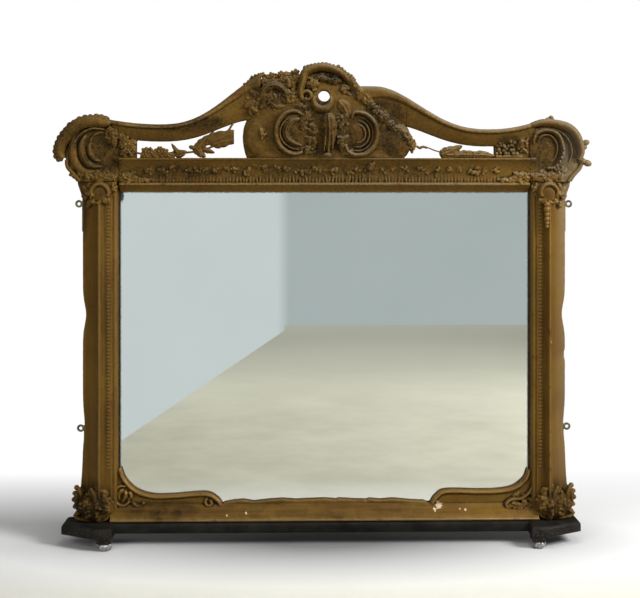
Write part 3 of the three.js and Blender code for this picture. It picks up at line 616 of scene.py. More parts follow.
def old_silvering(name):
    """Silvered plate: a little grey, with a thin dark edge, part lost silver and part painted shade along the
    frame, and one upper corner lost.
    """
    material, paint, shader = new_material(name)
    x, _, z = paint.axes(paint.place())
    ragged = paint.noise(90.0, 5.0)
    # A thin dark line along the frame: partly lost silver, partly painted shade where the frame meets the
    # glass
    left, right, top = (paint.span(away_along(paint, along, limit * MM), 0.004, 0.001)
                        for along, limit in ((x, -SIGHT_HALF), (x, SIGHT_HALF), (z, SIGHT_TOP)))
    edges = paint.calculate("MAXIMUM", paint.calculate("MAXIMUM", left, right), top)
    dark_edge_and_shade = paint.calculate("MULTIPLY", edges, paint.span(ragged, 0.35, 0.65, 0.2, 0.8))
    torn = paint.calculate("ADD", paint.away_from(-SIGHT_HALF, SIGHT_TOP - 8, 11.11, 25),
                           paint.span(ragged, 0.3, 0.7, -0.2, 0.2))
    lost_and_shaded = paint.calculate("MAXIMUM", dark_edge_and_shade, paint.span(torn, 1.0, 0.75))
    clear = paint.blend(paint.span(paint.noise(3.0, 4.0), 0.3, 0.7), (0.68, 0.70, 0.69), (0.71, 0.725, 0.715))
    paint.link(paint.blend(lost_and_shaded, clear, (0.03, 0.03, 0.03)), shader["Base Color"])
    paint.link(paint.calculate("SUBTRACT", 1.0, lost_and_shaded), shader["Metallic"])
    paint.link(paint.span(lost_and_shaded, 0.0, 1.0, 0.012, 0.4), shader["Roughness"])
    return material


def away_along(paint, value, limit):
    """How far a value lies from a limit, on either side."""
    return paint.calculate("ABSOLUTE", paint.calculate("SUBTRACT", value, limit, False), 0)


def dull_metal(name, light, dark, metallic, roughness):
    material, paint, shader = new_material(name)
    cloud = paint.noise(120.0, 5.0, 0.6)
    paint.link(paint.blend(paint.span(cloud, 0.35, 0.65), dark, light), shader["Base Color"])
    shader["Metallic"].default_value = metallic
    paint.link(paint.span(cloud, 0.3, 0.7, roughness + 0.15, roughness), shader["Roughness"])
    paint.link(paint.bump(cloud, 0.0003, 0.4), shader["Normal"])
    return material


BOTTOM_CHIPS = [(328, -456, 10), (314, -467, 4), (-280, -477, 2.6), (-226, -472, 3), (402, -468, 3),
                (387, -466, 2)]
STILE_CHIPS = [(682, -31, 3.4), (697, -46, 3), (647, 14, 1.8), (694, -16, 2)]
GILT = aged_gilt("aged_gilt", wear_and_shading=0.85)
GILT_CHIPPED = aged_gilt("aged_gilt_chipped", BOTTOM_CHIPS, True, (0.06, 1, 1), 0.8)
GILT_STREAKED = aged_gilt("aged_gilt_streaked", (), False, (1, 1, 0.06), 0.6)
GILT_NICKED = aged_gilt("aged_gilt_nicked", STILE_CHIPS, False, (1, 1, 0.06), 0.6)
BACK_WOOD = bare_wood("bare_back_wood", (0.22, 0.135, 0.070), (0.105, 0.062, 0.032), 2)
PINE = bare_wood("pine_boards", (0.27, 0.17, 0.09), (0.13, 0.075, 0.038), 0)
BLACK = black_paint("worn_black_paint")
SIGHT_BLACK = black_paint("blackened_sight_edge")
SILVER = old_silvering("old_silvering")
WHITE_METAL = dull_metal("tarnished_white_metal", (0.46, 0.45, 0.43), (0.13, 0.12, 0.11), 0.75, 0.25)
BRASS = dull_metal("dull_brass", (0.20, 0.16, 0.10), (0.05, 0.042, 0.032), 0.85, 0.4)


def finish(piece, node_name, slot, *materials):
    """Gives a piece its finishes and puts it in the place of its node."""
    for material in materials:
        piece.data.materials.append(material)
    if len(materials) > 1:
        for face in piece.data.polygons:
            face.material_index = 1 if face.normal.y > 0.75 else 0
    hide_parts(node_name)
    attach(piece, "root")
    return piece


# Stiles
WAISTS = [(92, 40, -9), (-228, 48, -5), (-494, 110, 12), (474, 34, 15)]
NICKS = {-1: [], 1: [(-22, 7, -4), (-36, 4, -3)]}


def outer_shift(z, side):
    """How far the outer edge stands out of its straight line at a height."""
    return sum(shift * math.exp(-((z - at) / width)**2) for at, width, shift in WAISTS + NICKS[side])


def stile_profile():
    """From the outer edge in: scoop, ridge, bead bed, small ovolo and sight edge."""
    inner = STILE_WIDTH
    lap = inner - REBATE_LAP
    profile = [(0, 0), (0, 19), (1.5, 22)]
    profile += bezier((1.5, 22), (22, 26), (40, 38), (SCOOP_WIDTH, 65), 10)
    profile += bezier((SCOOP_WIDTH, 65), (51, 69.5), (55, 70), (57, 67), 5)
    profile += bezier((57, 67), (60, 62), (61, 50), (66, BEAD_BED - 1), 8)
    profile += [(87, BEAD_BED - 2), (88.2, 42), (91, 41)]
    profile += bezier((91, 41), (92, 44), (100, 43), (101, 35), 7)
    profile += [(101.8, 24), (103.5, 22.5), (inner, 22), (inner, REBATE_DEPTH), (lap, REBATE_DEPTH), (lap, 0)]
    return profile


def stile(side, name):
    """An upright: its moulding, the bead row, the arch at its head and the clasp at its foot."""
    carving = Carving()
    low, high = FRAME_FOOT, STILE_TOP

    def place(across, t):
        z = low - 8 + (high - low + 16) * t
        shift = outer_shift(z, side) * max(0, 1 - across / SCOOP_WIDTH)
        return side * (STILE_OUTER + shift - across), z

    carving.moulding(stile_profile(), place, 122)
    for z in np.arange(-344, 424, 10.2):
        carving.ball(side * (STILE_OUTER - 76.5), z, BEAD_BED - 3, 4.5, 3.7, 0, 1.7)
    head_drop(carving, side)
    foot_clasp(carving, side)
    piece = fuse(name, carving, 1.45, 110000,
                 [((0, low, 0), (0, -1, 0)), ((0, high, 0), (0, 1, 0))])
    finish(piece, name, "gilt", GILT_STREAKED if side < 0 else GILT_NICKED, BACK_WOOD)
    blacken_sight(piece)


def blacken_sight(piece):
    """The black line that frames the glass along the inner edge of a stile."""
    piece.data.materials.append(SIGHT_BLACK)
    for face in piece.data.polygons:
        if abs(face.center.x) < (SIGHT_HALF + 2.6) * MM and face.material_index == 0:
            face.material_index = 2


def head_drop(carving, side):
    """The low arch over a plain cushion, with leaves about it, and on the right stile a drop of buds below.
    """
    x = STILE_OUTER - SCOOP_WIDTH - 7
    arch = spline(side, [(x - 21, 431), (x - 24, 446), (x - 15, 461), (x, 466), (x + 15, 461), (x + 24, 446),
                         (x + 21, 431)])
    carving.sweep(ROLL, arch, 30, swell(4.5, 6.5), swell(9, 15), steady(RIDGE_DEPTH - 4))
    carving.ball(side * x, 440, RIDGE_DEPTH - 6, 25, 12)
    foliage(carving, side, 41, 16, (x, 422), (26, 7), RIDGE_DEPTH - 4, 7)
    foliage(carving, side, 42, 14, (x + 36, 436), (14, 34), RIDGE_DEPTH - 28, 8)
    foliage(carving, side, 43, 10, (x - 34, 450), (10, 22), RIDGE_DEPTH - 24, 7)
    if side > 0:
        for z, size in ((408, 9), (394, 10), (380, 8), (367, 8), (355, 6), (345, 5)):
            carving.ball(x - 6, z, RIDGE_DEPTH - 2, size, 0.8 * size)


def foliage(carving, side, seed, count, middle, reach, depth, size):
    """A close mass of small soft leaves and buds inside an oval, turned every way."""
    draw = np.random.default_rng(seed)
    for _ in range(count):
        turn, out = draw.uniform(0, 2 * math.pi), math.sqrt(draw.uniform(0, 1))
        x = middle[0] + reach[0] * out * math.cos(turn)
        z = middle[1] + reach[1] * out * math.sin(turn)
        lie = turn + draw.uniform(-0.9, 0.9)
        c, s = size * math.cos(lie), size * math.sin(lie)
        level = depth - 7 * out**2 + draw.uniform(-2, 4)
        if draw.uniform() < 0.3:
            carving.ball(side * x, z, level + 2, 0.6 * size, 0.5 * size)
        else:
            path = spline(side, [(x - c, z - s), (x + 0.4 * s, z - 0.4 * c), (x + 1.3 * c, z + 1.3 * s)])
            carving.leaf(path, size * draw.uniform(0.7, 1.1), 0.7 * size, level, draw.uniform(-3, 4), 2, 0.25,
                         14, 0.2)


def foot_clasp(carving, side):
    """The swelling mass of curled leaves that clasps the foot of a stile, over a plain lip."""
    carving.ball(side * 654, -454, 42, 43, 35, 0, 1.25)
    carving.ball(side * 700, -440, 26, 40, 18, 0, 0.5)
    for points, thick, rise, level in (
            ([(634, -402), (627, -430), (634, -462), (654, -476), (676, -470)], 10, 11, 58),
            ([(666, -396), (654, -424), (658, -450), (676, -460), (689, -446), (682, -430)], 10, 11, 64),
            ([(706, -402), (696, -428), (702, -452), (716, -458)], 8, 12, 38),
            ([(615, -428), (611, -454), (622, -476)], 7, 11, 46),
            ([(690, -468), (704, -470), (714, -478)], 7, 11, 48)):
        carving.sweep(ROLL, spline(side, points), 32, swell(3, thick), swell(4, rise), steady(level))
    foliage(carving, side, 51, 30, (652, -450), (40, 28), 74, 8)
    foliage(carving, side, 52, 10, (650, -410), (30, 10), 62, 8)
    foliage(carving, side, 53, 12, (704, -430), (12, 28), 42, 8)
    foliage(carving, side, 54, 8, (616, -452), (8, 30), 52, 8)
    for x, z, size in ((711, -402, 8), (717, -418, 7), (718, -436, 8), (716, -456, 7)):
        carving.ball(side * x, z, 32, size, 9)
    lip = spline(side, [(716, -474), (704, -484), (680, -489), (650, -490), (624, -487), (612, -474)])
    carving.sweep(ROLL, lip, 30, swell(4, 6.5), swell(8, 12), steady(RIDGE_DEPTH - 20))


# Top rail
REED_PITCH = 9.5
LEAF_ROW_HALF = 500.0


def top_rail(name):
    """The slip, the fillet and the worn frieze over the glass."""
    carving = Carving()
    half = SIGHT_HALF - JOINT
    top = TOP_RAIL_TOP
    profile = [(SIGHT_TOP, REBATE_DEPTH), (SIGHT_TOP, 22), (446, 24)]
    profile += bezier((446, 24), (452, 26), (456, 36), (460, 40), 5)
    profile += [(462, 40), (462.5, 44)]
    profile += bezier((462.5, 44), (463, 49), (469, 49), (470, 44), 5)
    profile += [(470.5, 38)]
    profile += bezier((470.5, 38), (500, 36), (520, 42), (534, 56), 8)
    profile += bezier((534, 56), (536, 60), (539, 61), (top, 58), 4)
    profile += [(top, 0), (SIGHT_TOP + REBATE_LAP, 0), (SIGHT_TOP + REBATE_LAP, REBATE_DEPTH)]
    carving.moulding(profile, lambda z, t: ((half + 9) * (2 * t - 1), z), 2)
    leaf_row(carving)
    for side in (-1, 1):
        end_spray(carving, side)
    ends = [((-half, 0, 0), (-1, 0, 0)), ((half, 0, 0), (1, 0, 0))]
    piece = fuse(name, carving, 1.5, 125000, ends, joints=[((0, top, 0), (0, 1, 0))])
    return finish(piece, name, "gilt", GILT, BACK_WOOD)


def leaf_row(carving):
    """The worn relief of the frieze: faint reeds, strongest in the middle, and ragged clumps above them."""
    draw = np.random.default_rng(7)
    for x in np.arange(-LEAF_ROW_HALF, LEAF_ROW_HALF, REED_PITCH):
        kept = math.exp(-((x - 30) / 320)**2)
        lean = draw.uniform(-2, 2)
        reed = spline(1, [(x + draw.uniform(-2, 2), 473), (x + lean, 490),
                          (x + 2 * lean, draw.uniform(496, 522))])
        carving.sweep(ROLL, reed, 8, swell(1.8, draw.uniform(2.6, 4.4)),
                      ramp(0.5 + kept * draw.uniform(0.4, 3.6), 0.5), ramp(38.5, 37.4))
    x = -LEAF_ROW_HALF
    while x < LEAF_ROW_HALF:
        foliage(carving, 1, int(1000 + x), 9, (x, draw.uniform(502, 518)), (15, draw.uniform(7, 15)),
                draw.uniform(39, 42), draw.uniform(5.5, 8))
        x += draw.uniform(22, 42)
    carving.leaf(spline(1, [(124, 506), (132, 520), (142, 530)]), 11, 9, 46, 4, 3)


def end_spray(carving, side):
    """Small flowers and leaves low down at the plain ends of the frieze."""
    foliage(carving, side, 111, 26, (566, 484), (24, 14), 44, 8)
    foliage(carving, side, 112, 16, (526, 476), (26, 6), 42, 7)
    for x, z, r in ((560, 488, 11), (576, 480, 9), (540, 477, 8)):
        carving.bloom(side * x, z, 42, r)


# Bottom rail
SPANDREL = {
    -1: [(591, -349), (576, -384), (545, -414), (500, -430), (440, -431), (345, -425), (312, -440),
         (300, -456)],
    1: [(591, -358), (578, -388), (546, -412), (500, -421), (440, -422), (350, -421), (322, -436),
        (309, -454)],
}
WORN_EDGE = [(-300, -462), (-290, -450), (-262, -445), (-236, -443), (-205, -448), (-160, -443), (-120, -441),
             (-84, -444), (-40, -442), (0, -441), (34, -444), (38, -441), (86, -444), (120, -445),
             (128, -442), (160, -445), (196, -442), (250, -447), (288, -449), (309, -462)]


def bottom_rail(name):
    """The plain band, its two corner spandrels and the worn edge between them."""
    carving = Carving()
    half = NOTCH_X - JOINT
    foot = FRAME_FOOT
    profile = [(foot, 0), (foot, 64), (foot + 1.5, 66)]
    profile += bezier((foot + 1.5, 66), (foot + 3, 69), (foot + 7, 68), (foot + 8, 63), 5)
    profile += bezier((foot + 8, 63), (foot + 21, 64), (foot + 26, 36), (-454, 31), 10)
    profile += [(-453.5, 30), (-453.5, 0)]
    carving.moulding(profile, lambda z, t: (half * (1 - 2 * t), z), 2)
    low_edge = -470
    for side, points in SPANDREL.items():
        edge = spline(side, points)
        run = [tuple(p) for p in edge(np.linspace(0, 1, 40))]
        outline = run + [(side * 280, low_edge), (side * half, low_edge), (side * half, points[0][1])]
        carving.board(outline, REBATE_DEPTH, SLIP_DEPTH + 4)
        carving.sweep(ROLL, edge, 70, steady(5.6), steady(9.5), steady(SLIP_DEPTH))
    carving.scroll(spiral(-1, 332, -447, [13, 5], [60, -220]), 5, 10, SLIP_DEPTH + 2)
    left_shell(carving)
    right_shell(carving)
    carving.board([(-300, low_edge)] + WORN_EDGE + [(309, low_edge)], REBATE_DEPTH, SLIP_DEPTH + 3)
    piece = fuse(name, carving, 1.6, 85000, [((0, foot, 0), (0, -1, 0))])
    return finish(piece, name, "gilt", GILT_CHIPPED, BACK_WOOD)


def left_shell(carving):
    """The oval scroll with a shell in the lower left corner."""
    depth = SLIP_DEPTH + 2
    oval = spline(-1, [(571, -400), (590, -400), (603, -416), (602, -436), (590, -452), (574, -454),
                       (560, -442)])
    carving.sweep(ROLL, oval, 40, swell(2.5, 5), swell(6, 11), steady(depth))
    for points, width in (([(578, -408), (590, -420), (590, -438)], 8),
                          ([(572, -412), (572, -428), (582, -444)], 8),
                          ([(562, -414), (556, -428), (566, -440)], 7),
                          ([(592, -456), (576, -464), (554, -462)], 8),
                          ([(606, -440), (604, -458), (592, -470)], 8),
                          ([(552, -446), (538, -456), (520, -452)], 7),
                          ([(608, -404), (606, -386), (600, -368)], 7)):
        carving.leaf(spline(-1, points), width, 8, depth + 1, 0, 3)
    carving.ball(-521, -448, depth + 4, 4.5, 5)


def right_shell(carving):
    """The scrolled leaf in the lower right corner."""
    depth = SLIP_DEPTH + 4
    swirl = spline(1, [(600, -398), (588, -424), (564, -440), (538, -442), (522, -454), (528, -468),
                       (544, -470)])
    carving.sweep(ROLL, swirl, 40, swell(2.5, 5), swell(5, 9), ramp(depth - 1, depth + 8))
    foliage(carving, 1, 55, 26, (560, -464), (42, 13), depth + 9, 9)
    foliage(carving, 1, 56, 12, (598, -440), (10, 36), depth + 3, 8)
    foliage(carving, 1, 57, 8, (560, -428), (26, 7), depth, 7)


# Crest rails
CREST_DIP_X = 472.0
CREST_PEAK_X = 139.0
CREST_EAR_X = 606.0
CREST = {-1: dict(dip=637, rise=153, ear=12, swell=54, gap_end=541),
         1: dict(dip=624, rise=123, ear=22, swell=34, gap_end=489)}


def crest_top(side, x):
    """The height of a crest rail's upper edge."""
    rail = CREST[side]
    reach = side * x
    if reach > CREST_DIP_X:
        return rail["dip"] + rail["ear"] * ((reach - CREST_DIP_X) / (CREST_EAR_X - CREST_DIP_X))**2
    way = min(1, (CREST_DIP_X - reach) / (CREST_DIP_X - CREST_PEAK_X))
    return rail["dip"] + rail["rise"] * (1 - math.cos(math.pi * way**1.25)) / 2


def crest_band(side, x):
    """How high a crest rail's moulding is, growing towards the cartouche."""
    way = max(0, (CREST_DIP_X - side * x) / (CREST_DIP_X - CARTOUCHE_HALF))
    return 48 + CREST[side]["swell"] * way**2.5


def crest_profile():
    """A rounded upper edge over a shallow hollow; across runs from 0 at the top to 1."""
    profile = [(0, CREST_BACK), (0.0, 48)]
    profile += bezier((0.0, 48), (-0.01, 62), (0.26, 70), (0.28, 55), 9)
    profile += bezier((0.28, 55), (0.5, 55), (0.75, 47), (0.97, 40), 7)
    profile += [(1, 37), (1, CREST_BACK)]
    return profile


def crest_moulding(carving, side, start, end, steps):
    def place(down, t):
        x = side * (start + (end - start) * t)
        return x, crest_top(side, x) - down * crest_band(side, x)

    carving.moulding(crest_profile(), place, steps)


def crest_rail(side, name):
    """The swept rail between ear and cartouche, with the web at the end of its opening."""
    carving = Carving()
    ear = EAR_JOINT - JOINT
    gap_end = CREST[side]["gap_end"]
    crest_moulding(carving, side, ear + 9, CARTOUCHE_HALF - 9, 44)
    web_top = crest_top(side, side * (gap_end + 30)) - 30
    carving.bar(side * gap_end, side * (ear + 9), CREST_FLOOR - 6, web_top, CREST_BACK, 37)
    if side < 0:
        flower_cluster(carving)
    else:
        grape_cluster(carving)
    sides = [((side * ear, 0, 0), (side, 0, 0)), ((side * (CARTOUCHE_HALF + JOINT), 0, 0), (-side, 0, 0)),
             ((0, CREST_FLOOR, 0), (0, -1, 0))]
    piece = fuse(name, carving, 1.5, 45000, sides)
    return finish(piece, name, "gilt", GILT, BACK_WOOD)


def flower_cluster(carving):
    """The flowers that fall from the ear, spreading over the end of the opening."""
    for x, z, r in ((-584, 606, 12), (-572, 594, 13), (-560, 582, 12), (-550, 570, 11), (-576, 576, 10),
                    (-562, 562, 10)):
        carving.bloom(x, z, 44, r, 5, 0.1 * x)
    foliage(carving, -1, 123, 34, (568, 580), (22, 34), 43, 8)


def grape_cluster(carving):
    """A bunch of small grapes with a leaf or two, over a plain ledge."""
    draw = np.random.default_rng(11)
    for row in range(5):
        for i in range(6 - row % 2):
            carving.ball(495 + 11 * i + 5.5 * (row % 2) + draw.uniform(-2.5, 2.5),
                         554 + 11 * row + draw.uniform(-2.5, 2.5),
                         40 + draw.uniform(-3, 4), draw.uniform(5, 7))
    foliage(carving, 1, 121, 26, (566, 586), (20, 26), 43, 8)
    foliage(carving, 1, 122, 10, (520, 610), (26, 6), 41, 7)
    carving.bar(489.2, 566, CREST_FLOOR, 548, 30, 46)


# Ears
EAR_X, EAR_Z, EAR_RIM = 664.0, 560.0, 80.0


def ear(side, name):
    """A carved scroll at an upper corner, where the crest rail and the frieze die away."""
    carving = Carving()
    arc = spiral(side, EAR_X, EAR_Z, [EAR_RIM, EAR_RIM], [100, -20])(np.linspace(0, 1, 24))
    start = side * (EAR_JOINT - 9)
    outline = [(start, STILE_TOP - 9), (start, EAR_Z + EAR_RIM)] + [tuple(p) for p in arc]
    outline += bezier(arc[-1], (side * 737, 520), (side * 728, 500), (side * 711, STILE_TOP))
    outline += [(side * 710, STILE_TOP - 9)]
    carving.board(outline, CREST_BACK, 40)

    def rail_section(x):
        return [(crest_top(side, x) - down * crest_band(side, x), depth) for down, depth in crest_profile()]

    dying_run(carving, side, 58 if side < 0 else 42, rail_section)
    lip = [(541, 14), (541, 58), (536, 58), (530, 52), (520, 43), (500, 38.5), (468, 38.5), (468, 14)]
    dying_run(carving, side, 34, lambda x: lip)
    if side < 0:
        left_fringe(carving)
        left_volute(carving)
    else:
        right_rim(carving)
        right_volute(carving)
    ear_root(carving, side)
    cuts = [((side * (EAR_JOINT + 0.05), 0, 0), (-side, 0, 0)), ((0, STILE_TOP + 0.05, 0), (0, -1, 0))]
    piece = fuse(name, carving, 1.3, 75000, cuts)
    return finish(piece, name, "gilt", GILT, BACK_WOOD)


def dying_run(carving, side, reach, section):
    """The end of a rail's moulding where it sinks into the ground of the ear."""
    rings = []
    for t in np.linspace(0, 1, 12):
        x = side * (EAR_JOINT - 9 + reach * t)
        sink = 24 * t**1.6
        rings.append([(x, z, max(depth - sink, min(depth, 14))) for z, depth in section(x)])
    carving.rings(np.array(rings))


def left_volute(carving):
    """The broad crescents that sweep round a hollow, and the flowers that fall across it."""
    for points, thick, rise in (
            ([(702, 618), (716, 594), (720, 562), (711, 526), (686, 502), (648, 503)], 13, 15),
            ([(684, 606), (694, 584), (693, 554), (682, 531), (662, 518), (638, 516)], 11.5, 15),
            ([(668, 590), (673, 570), (668, 550), (655, 536), (640, 532)], 8, 12)):
        carving.sweep(ROLL, spline(-1, points), 44, swell(1, thick), swell(2, rise), steady(40))
    carving.sweep(ROLL, spiral(-1, 640, 580, [34, 30], [110, -10]), 30, swell(1.5, 4), swell(3, 7),
                  steady(40))
    foliage(carving, -1, 61, 34, (606, 602), (14, 30), 47, 8)
    for x, z, r in ((613, 622, 9), (606, 604, 10), (601, 586, 9)):
        carving.bloom(-x, z, 48, r)


def right_rim(carving):
    """The smooth rim that runs on from the crest rail and rolls round the right ear."""
    rim = spline(1, [(590, 634), (610, 640), (631, 643), (663, 640), (696, 631), (719, 611), (732, 583),
                     (736, 556), (729, 536)])
    carving.sweep(ROLL, rim, 50, swell(7, 12.5), swell(16, 25), steady(44))
    hollow = spline(1, [(600, 622), (640, 628), (676, 617), (702, 590), (710, 556), (702, 530)])
    carving.sweep(ROLL, hollow, 40, swell(1.5, 3.5), swell(4, 11), steady(41))
    right_stumps(carving)


def right_volute(carving):
    """The beaded ring round a plain disc."""
    ring = spline(1, [(600, 582), (600, 596), (608, 612), (631, 621), (659, 616), (677, 597), (684, 565),
                      (677, 537), (659, 514), (640, 512)])
    carving.sweep(ROLL, ring, 50, swell(3, 7), swell(8, 16), steady(40))
    for x, z in ring(np.linspace(0.66, 1, 8)):
        carving.ball(x, z, 55, 4, 3.6)
    inner = spline(1, [(612, 588), (620, 602), (636, 608), (656, 600), (668, 576), (664, 548), (650, 530)])
    carving.sweep(ROLL, inner, 40, swell(1.5, 3), swell(3, 7), steady(41))
    carving.ball(634, 570, 30, 34, 13)
    foliage(carving, 1, 62, 8, (602, 612), (8, 12), 44, 7)
    foliage(carving, 1, 63, 10, (672, 506), (22, 9), 44, 7)


def ear_root(carving, side):
    """The leaves below the scroll, down to the head of the stile."""
    foliage(carving, side, 71, 44, (630, 486), (34, 14), 47, 9)
    foliage(carving, side, 72, 14, (664, 486), (22, 12), 45, 9)
    if side < 0:
        foliage(carving, side, 73, 16, (704, 494), (20, 16), 40, 9)
    carving.ball(side * 712, 524, 30, 26, 14, 0.8, 1.2)
    edge = spline(side, [(700, STILE_TOP), (709, 486), (722, 500), (735, 516), (738, 536)])
    carving.sweep(ROLL, edge, 24, steady(7), steady(13), steady(34))
    for x, z, r in ((604, 484, 9), (620, 480, 9), (640, 490, 9)):
        carving.bloom(side * x, z, 49, r)


def left_fringe(carving):
    """The broad rim of the left ear, whole, with its ragged comb of tips outside."""
    draw = np.random.default_rng(3)
    band = spline(-1, [(612, 641), (634, 641), (662, 646), (698, 639), (728, 617), (749, 588), (756, 560),
                       (748, 540)])
    carving.sweep(ROLL, band, 50, swell(7, 19), swell(14, 24), steady(42))
    fillet = spline(-1, [(629, 622), (665, 624), (697, 608), (719, 574), (722, 552)])
    carving.sweep(ROLL, fillet, 36, swell(2, 4), swell(6, 13), steady(42))
    t = np.linspace(0.1, 0.97, 17)
    point, across = line_of(band, t)
    for (x, z), (ax, az) in zip(point, -across):
        if ax * (x + EAR_X) + az * (z - EAR_Z) < 0:
            ax, az = -ax, -az
        reach = draw.uniform(18, 24)
        tip = (x + ax * reach + az * 5, z + az * reach - ax * 5)
        carving.leaf(spline(1, [(x, z), (x + ax * 12, z + az * 12), tip]), 9.5, 15, 42, -12, 2, 0.35, 14)


def right_stumps(carving):
    """What is left of the right fringe: a few broken tips."""
    for x, z, size, long in ((650, 655, 8, 1.2), (640, 652, 6, 1.2), (750, 586, 9, 1.3), (744, 572, 8, 1.3),
                             (754, 527, 10, 1.4), (740, 534, 9, 1.3)):
        carving.ball(x, z, 44, size, 10, math.atan2(z - EAR_Z, x - EAR_X), long)


# Cartouche
HOLE_X, HOLE_Z, HOLE_R = -3.0, 719.0, 17.0


def cartouche(name):
    """The carved centre of the crest."""
    carving = Carving()
    cartouche_ground(carving)
    crest_moulding(carving, -1, CARTOUCHE_HALF + 0.4, 186, 8)
    crest_moulding(carving, 1, CARTOUCHE_HALF + 0.4, 92, 20)
    top_scroll(carving)
    left_scroll(carving)
    right_scroll(carving)
    hole_cup(carving)
    centre_leaves(carving)
    shoulder_flowers(carving)
    right_garland(carving)
    piece = fuse(name, carving, 1.25, 188000, [((0, CREST_FLOOR, 0), (0, -1, 0))],
                 joints=[((side * CARTOUCHE_HALF, 0, 0), (1, 0, 0)) for side in (-1, 1)])
    bore_hole(piece)
    return finish(piece, name, "gilt", GILT, BACK_WOOD)


def cartouche_ground(carving):
    """The bulging ground that the ornament lies on, with a plain lobe at each side."""
    outline = [(-225, CREST_FLOOR)]
    outline += bezier((-225, CREST_FLOOR), (-241, 580), (-241, 630), (-222, 654))
    outline += [(-231, 690), (-231, 744)]
    outline += bezier((-231, 744), (-190, 785), (-110, 778), (-70, 778))
    outline += bezier((-70, 778), (-50, 806), (50, 806), (84, 742), 10)
    outline += [(150, 742), (231, 700), (231, 640)]
    outline += bezier((231, 640), (256, 606), (256, 570), (228, CREST_FLOOR))
    outline = np.array(outline)
    middle = np.array([0.0, 640.0])
    rings = []
    for shrink, depth in ((1, CREST_BACK), (1, 30), (0.985, 36), (0.9, 45), (0.75, 52), (0.5, 57), (0.2, 59),
                          (0.02, 59.5)):
        flat = middle + (outline - middle) * shrink
        rings.append(np.column_stack([flat, np.full(len(flat), depth)]))
    carving.rings(np.array(rings))
    foot = []
    for t in np.linspace(-1, 1, 41):
        rise = 1 - t**8
        foot.append([(2 + 224 * t, z, 20 + (depth - 20) * rise)
                     for z, depth in ((534, 20), (534, 57), (548, 56), (562, 53), (586, 46), (586, 20))])
    carving.rings(np.array(foot))
    for x, z, long, high in ((-184, 598, 50, 62), (190, 590, 62, 62)):
        carving.ball(x, z, 34, high, 22, 0, long / high)


def top_scroll(carving):
    """The broad arch over the hole, with its ragged outer edge and a hollow under it."""
    arch = spline(1, [(-54, 702), (-67, 712), (-70, 735), (-64, 760), (-57, 786), (-23, 800), (9, 799),
                      (42, 786), (66, 764), (78, 744)])
    carving.sweep(ROLL, arch, 56, swell(4, 12), swell(12, 27), steady(50))
    edge = spline(1, [(-56, 790), (-23, 800), (9, 799), (42, 786), (66, 764), (76, 750)])
    draw = np.random.default_rng(5)
    for (x, z), (nx, nz) in zip(*line_of(edge, np.linspace(0, 1, 18))):
        reach = draw.uniform(11, 17)
        path = spline(1, [(x, z), (x + nx * 8, z + nz * 8), (x + nx * reach + 3, min(z + nz * reach, 816.5))])
        carving.leaf(path, 6.5, 15, 56, -8, 2, 0.3, 14)
    foliage(carving, 1, 81, 18, (-38, 748), (14, 22), 60, 8)
    foliage(carving, 1, 82, 18, (6, 766), (36, 9), 56, 8)
    foliage(carving, 1, 83, 10, (62, 738), (14, 14), 56, 7)
    carving.bloom(-32, 755, 62, 11)
    carving.leaf(spline(1, [(38, 704), (58, 676), (70, 646)]), 20, 9, 55, 0, 2, 0.12, 30, 0.12)
    carving.scroll(spiral(1, -52, 716, [18, 8], [200, -120]), 6, 13, 58)


def left_scroll(carving):
    """The left scroll: a broad rim open to the right, a leaf curled inside it."""
    outer = spline(1, [(-66, 664), (-86, 674), (-113, 668), (-135, 643), (-141, 611), (-132, 580),
                       (-112, 560), (-86, 552), (-64, 558)])
    carving.sweep(ROLL, outer, 54, swell(3, 8), swell(8, 20), steady(56))
    rim = spline(1, [(-80, 662), (-106, 654), (-125, 632), (-129, 608), (-120, 586), (-100, 570), (-76, 564)])
    carving.sweep(ROLL, rim, 44, swell(1, 3), swell(5, 11), steady(56))
    curled = spline(1, [(-74, 652), (-98, 645), (-112, 622), (-109, 600), (-92, 584), (-68, 576)])
    carving.leaf(curled, 12, 12, 58, 0, 8, 0.1, 44)
    carving.ball(-82, 614, 46, 26, 14)
    foliage(carving, 1, 84, 20, (-54, 650), (16, 26), 60, 9)
    foliage(carving, 1, 85, 22, (-36, 606), (16, 34), 58, 9)
    foliage(carving, 1, 86, 10, (-44, 562), (18, 10), 58, 8)


def right_scroll(carving):
    """The right scroll: shallow rings of a fluted shell, open to the left."""
    outer = spline(1, [(74, 654), (84, 670), (112, 666), (136, 646), (147, 614), (140, 578), (117, 554),
                       (89, 548), (66, 558), (58, 576)])
    carving.sweep(ROLL, outer, 54, swell(3, 8), swell(8, 20), steady(56))
    carving.ball(94, 610, 46, 42, 17)
    middle = np.array([90.0, 610.0])
    for shrink, thick, rise in ((0.80, 3, 10), (0.62, 3.5, 11), (0.42, 3.5, 10)):
        points = outer(np.linspace(0.16, 0.8, 9))
        ring = spline(1, [tuple(middle + (p - middle) * shrink) for p in points])
        carving.sweep(ROLL, ring, 40, swell(0.8, thick), swell(3, rise), steady(57))
    foliage(carving, 1, 87, 18, (50, 646), (14, 22), 59, 9)
    foliage(carving, 1, 88, 18, (48, 592), (12, 32), 58, 9)
    foliage(carving, 1, 89, 10, (62, 556), (18, 10), 58, 8)


def hole_cup(carving):
    """The smooth cup round the lower side of the hole."""
    cup = spiral(1, HOLE_X - 5, HOLE_Z - 15, [25, 24], [148, 392])
    carving.sweep(ROLL, cup, 44, swell(5, 11.5), swell(12, 26), steady(56))
    carving.ball(HOLE_X - 6, HOLE_Z - 17, 44, 22, 16)


